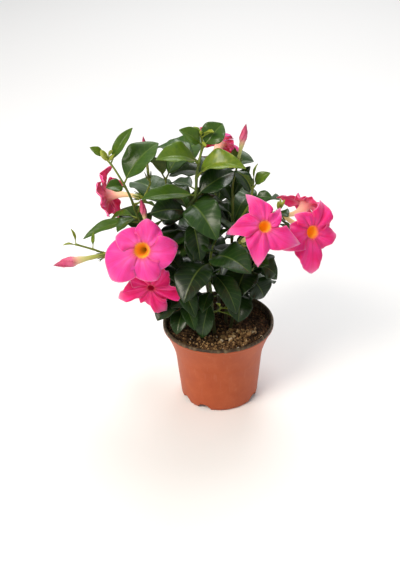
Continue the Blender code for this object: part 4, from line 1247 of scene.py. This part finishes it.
def furled(name, plan):
    """A large bud, whose petals are wound round each other above its smooth tube."""
    root, tip, radius = Vector(plan[0]), Vector(plan[1]), plan[2]
    ahead = (tip - root).normalized()
    side = ahead.orthogonal().normalized()
    up = ahead.cross(side)

    def seam(u, v):
        wound = (PETALS * u - WINDING * v) % 1.0
        return wound * max(0.0, min(1.0, (v - 0.4) / 0.2))

    def shape(u, v):
        if v in (0, 1):
            return (root if v == 0 else tip) * MM
        share = (v * BUD_ROWS - 1) / (BUD_ROWS - 1)
        width = radius * bud_width(share) * (1 + SEAM_RELIEF * (seam(u % 1, share) - 0.4))
        turn = 2 * math.pi * u
        return (root + (tip - root) * share + towards(side, up, turn) * width) * MM

    bm = new_mesh("run", "side")
    lay(bm, BUD_SIDES, BUD_ROWS, shape, run=lambda u, v: v,
        side=lambda u, v: seam(u % 1, v) ** 6)
    piece(name + "_petals", bm, name, [BUD_TISSUE])


def fine_pot():
    """The pot turned finely, with its rolled lip, stepped collar and foot notches."""
    floor = FLOOR_UNDERSIDE + FLOOR_THICKNESS
    top = POT_HEIGHT - LIP_HEIGHT - 0.6
    heights = [FLARE_FOOT + (top - FLARE_FOOT) * step / FLARE_STEPS
               for step in range(FLARE_STEPS + 1)]
    inner = [(0, floor), (BASE_RADIUS - 6, floor)]
    inner += [(wall_radius(height) - WALL, height) for height in [floor + 2, 30] + heights]
    lip = []
    for step in range(13):
        turn = math.radians(165 - 15 * step)
        lip.append((RIM_RADIUS - LIP_ROUND + LIP_ROUND * math.cos(turn),
                    POT_HEIGHT - LIP_ROUND + LIP_ROUND * math.sin(turn)))
    lip = [(RIM_RADIUS - 3.6, POT_HEIGHT - 2.6)] + lip + [
        (RIM_RADIUS, POT_HEIGHT - LIP_HEIGHT + 0.5),
        (RIM_RADIUS - 0.3, POT_HEIGHT - LIP_HEIGHT)]
    outer = [(wall_radius(height), height) for height in heights[::-1]]
    outer += [(wall_radius(FLARE_FOOT) - 0.25, FLARE_FOOT - 0.8), (wall_radius(30), 30),
              (wall_radius(4), 4), (wall_radius(2) - 0.4, 1.2)]
    underside = [(BASE_RADIUS - 1.6, 0), (BASE_RADIUS - FOOT_WIDTH, 0),
                 (BASE_RADIUS - FOOT_WIDTH, FLOOR_UNDERSIDE),
                 (CENTRE_PAD_RADIUS + 2, FLOOR_UNDERSIDE), (CENTRE_PAD_RADIUS, 0), (0, 0)]
    bm = bmesh.new()
    points = [bm.verts.new((radius * MM, 0, height * MM))
              for radius, height in inner + lip + outer + underside]
    edges = [bm.edges.new(pair) for pair in zip(points, points[1:])]
    bmesh.ops.spin(bm, geom=points + edges, cent=(0, 0, 0), axis=(0, 0, 1),
                   angle=2 * math.pi, steps=POT_STEPS, use_merge=True)
    bmesh.ops.remove_doubles(bm, verts=bm.verts, dist=0.00001)
    bmesh.ops.recalc_face_normals(bm, faces=bm.faces)
    body = object_from_bmesh("pot_body", bm)
    cutters = new_collection("notch_cutters")
    for degrees in NOTCH_TURNS:
        turn = math.radians(degrees - 90)
        bm = bmesh.new()
        bmesh.ops.create_cone(bm, cap_ends=True, segments=28, radius1=MM, radius2=MM,
                              depth=14 * MM)
        bmesh.ops.rotate(bm, matrix=Matrix.Rotation(math.pi / 2, 3, "Y"), verts=bm.verts)
        bmesh.ops.scale(bm, vec=(1, NOTCH_WIDTH / 2, NOTCH_HEIGHT), verts=bm.verts)
        notch = object_from_bmesh("notch", bm, cutters)
        reach = (BASE_RADIUS - 1.0) * MM
        notch.location = (reach * math.cos(turn), reach * math.sin(turn), 0)
        notch.rotation_euler = (0, 0, turn)
    body = notched(body, "pot_body", cutters)
    body.name = "pot_body"
    body.data.materials.clear()
    body.data.materials.append(POT_PLASTIC)
    body.data.shade_smooth()
    body.data.set_sharp_from_angle(angle=math.radians(SHARP_ANGLE))
    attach(body, "root")
    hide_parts("pot")


def crumbled(x, y):
    """The mix's surface with lumps, crumbs and grit."""
    place = Vector((x, y, 0))
    return (soil_height(x, y) + 0.9 * lumpy(place, 5.0, 2.6, 0.7)
            + 0.55 * lumpy(place, 1.3, 0.8, 0.6))


def soil_tone(x, y):
    """Dark peat with a few lighter crumbs."""
    return max(0.0, min(0.65, 0.24 + 0.5 * lumpy(Vector((x, y, 7)), 1.6, 6, 0.5)))


def fine_soil():
    """The potting mix: a crumbly top on a plain plug that fills the pot."""
    spare = WALL + SOIL_SPARE
    floor = FLOOR_UNDERSIDE + FLOOR_THICKNESS + GAP
    edge = wall_radius(SOIL_LEVEL) - spare + 0.6
    down = [(wall_radius(height) - spare, height) for height in (80, 70, 60, 30, floor)]
    down.append((0, floor))

    def shape(u, v):
        turn = -2 * math.pi * u
        if v <= SOIL_TOP_SHARE:
            radius = edge * v / SOIL_TOP_SHARE
            x, y = radius * math.cos(turn), radius * math.sin(turn)
            return Vector((x, y, crumbled(x, y))) * MM
        place = (v - SOIL_TOP_SHARE) / (1 - SOIL_TOP_SHARE) * len(down)
        radius, height = down[min(len(down) - 1, max(0, math.ceil(place - 0.001) - 1))]
        return Vector((radius * math.cos(turn), radius * math.sin(turn), height)) * MM

    def tone(u, v):
        point = shape(u, v) / MM
        return soil_tone(point.x, point.y)

    bm = new_mesh("tone")
    lay(bm, SOIL_STEPS, SOIL_ROWS, shape, tone=tone)
    piece("soil_bed", bm, "soil", [PEAT])


def soil_crumbs():
    """Loose crumbs of peat, tan coir chips and perlite that lie on the mix."""
    bm = new_mesh("tone")
    layer = bm.verts.layers.float["tone"]
    draw = random.Random(21)
    edge = wall_radius(SOIL_LEVEL) - WALL - 3
    for x, y, scatter, count, length, dark, light in CRUMBS:
        for number in range(count):
            centre = Vector((draw.gauss(x, scatter), draw.gauss(y, scatter), 0))
            size = length * draw.uniform(0.5, 1.2)
            turn = Euler([draw.uniform(0, math.pi) for axis in range(3)]).to_matrix().to_4x4()
            tone = draw.uniform(dark, light)
            flat = draw.uniform(0.4, 0.9)
            if centre.length > edge:
                continue
            centre.z = crumbled(centre.x, centre.y) + 0.2 * size
            new = bmesh.ops.create_icosphere(bm, subdivisions=1, radius=1)["verts"]
            grow = Matrix.Diagonal((size * 0.6, size * 0.6 * flat, size * 0.4, 1))
            for vertex in new:
                vertex[layer] = tone
                rough = 1 + 0.6 * noise.noise(vertex.co * 3 + centre)
                vertex.co = (Matrix.Translation(centre) @ turn @ grow @ (vertex.co * rough)) * MM
    piece("soil_crumbs", bm, "soil", [PEAT]).data.shade_flat()


def settled_leaves():
    """Every leaf in the place that the solids have it, found by the same rule."""
    group = new_collection("guides")
    taken = [(name, object_tree(frame["nodes"][name]))
             for name in list(BLOOMS) + list(BUDS) + ["pot", "soil"]]
    shoots = {}
    for stem, plan in STEMS.items():
        pieces, shoots[stem] = stem_woody_parts(plan, group)
        taken += [(stem, object_tree(guide)) for guide in pieces]
    leaves = []
    for stem, plan in STEMS.items():
        leaves += stem_leaves(stem, plan, shoots[stem])
    draw = random.Random(11)
    for stem, plan in STEMS.items():
        leaves += stem_pairs(stem, plan, draw)
    settled = [placed for placed in (settle(entry, taken) for entry in leaves) if placed]
    discard(group)
    vary = random.Random(31)
    for leaf in settled:
        leaf["phase"] = vary.random()
        leaf["shown_age"] = max(0.0, leaf["age"] + vary.uniform(-0.08, 0.08))
    return settled, shoots


def plant():
    settled, shoots = settled_leaves()
    for stem, plan in STEMS.items():
        fine_stem(stem, plan, shoots[stem], settled)
    for name, bloom in BLOOMS.items():
        fine_bloom(name, bloom)
    for name, plan in BUDS.items():
        furled(name, plan)


def camera():
    """The photograph's view: from the front, above, with a slight roll."""
    view = bpy.data.cameras.new("camera")
    view.lens = CAMERA_LENS
    view.sensor_width = 36.0
    view.clip_start = 0.01
    made = new_object("camera", view)
    ahead = Vector(CAMERA_AHEAD).normalized()
    yaw = math.radians(CAMERA_YAW)
    right = Vector((math.cos(yaw), -math.sin(yaw), 0)).normalized()
    up = right.cross(ahead)
    roll = math.radians(CAMERA_ROLL)
    columns = Matrix((towards(right, up, roll), towards(up, -right, roll), -ahead))
    turn = columns.transposed().to_4x4()
    made.matrix_world = Matrix.Translation(CAMERA_PLACE) @ turn
    bpy.context.scene.camera = made


def softbox(name, place, target, size, power, colour="FFFFFF"):
    lamp = bpy.data.lights.new(name, "AREA")
    lamp.shape = "DISK"
    lamp.size = size
    lamp.energy = power
    lamp.color = linear(colour)[:3]
    made = new_object(name, lamp)
    aim = (Vector(place) - Vector(target)).to_track_quat("Z", "Y")
    made.matrix_world = Matrix.Translation(place) @ aim.to_matrix().to_4x4()


def studio():
    """A pale floor, a bright room, and soft lights at the upper left, above and behind."""
    bm = bmesh.new()
    bmesh.ops.create_grid(bm, x_segments=1, y_segments=1, size=3)
    bmesh.ops.translate(bm, vec=(0, 0, -0.0002), verts=bm.verts)
    floor = object_from_bmesh("floor", bm)
    paper = finish_of("white_paper_sweep", Roughness=0.9, Base_Color=linear("F6F6F6"))[0]
    floor.data.materials.append(paper)
    world = bpy.data.worlds.new("room")
    world.use_nodes = True
    light = world.node_tree.nodes["Background"].inputs
    light["Color"].default_value = linear("FFFFFF")
    light["Strength"].default_value = WORLD_LIGHT
    bpy.context.scene.world = world
    softbox("key", (-0.75, -0.75, 1.25), (0, 0, 0.2), 0.7, KEY_POWER, "FFF6E8")
    softbox("backdrop", (0.2, 2.0, 2.0), (0.1, 1.2, 0), 1.6, BACKDROP_POWER)
    softbox("top", (0.2, 0.55, 1.3), (0, 0, 0.25), 0.6, TOP_POWER)
    bpy.context.scene.view_settings.view_transform = "Standard"


# glossy upper side of a mandevilla leaf, and its paler matt underside
LEAF_UPPER = waxy_leaf("waxy_leaf_upper", [
    (0.0, "89942A"), (0.1, "5F771A"), (0.25, "426016"), (0.45, "2E4D15"), (0.72, "1D380F"),
    (1.0, "12240C")], "7F924A", 0.33, 0.18)
LEAF_UNDER = waxy_leaf("leaf_underside", [
    (0.0, "929F40"), (0.2, "788A34"), (0.5, "546B30"), (1.0, "3A4F28")],
    "97A970", 0.6, 0.0)
STEM_SKIN = green_stem()
PETAL_UPPER = petal_tissue("pink_petal_upper", [
    (0.0, "935A08"), (0.25, "B8760C"), (0.38, "E09214"), (0.46, "FFC040"), (0.49, "FCA468"),
    (0.52, "F76CA2"), (0.58, "F862B6"), (0.75, "F54CA8"), (1.0, "F0389A")], [
    (0.0, "A9620A"), (0.25, "CC7E0C"), (0.38, "EE8C0A"), (0.45, "FFA418"), (0.485, "F46A40"),
    (0.52, "E41A60"), (0.58, "EA106C"), (0.75, "EE1070"), (1.0, "E8146A")], 0.08)
PETAL_BACK = petal_tissue("pale_petal_back", [
    (0.0, "A8AE5E"), (0.12, "DCCB96"), (0.3, "EBC6A6"), (0.46, "EFB4A8"), (0.58, "F08FB0"),
    (0.8, "F25C9C"), (1.0, "F24694")], [
    (0.0, "A8AE5E"), (0.12, "DEC293"), (0.3, "E8B496"), (0.46, "EA989C"), (0.58, "EA5C8E"),
    (0.8, "E83478"), (1.0, "E82A70")], 0.1)
BUD_TISSUE = furled_bud()
POT_PLASTIC = moulded_polypropylene()
PEAT = peat_mix()

plant()
fine_pot()
fine_soil()
soil_crumbs()
camera()
studio()
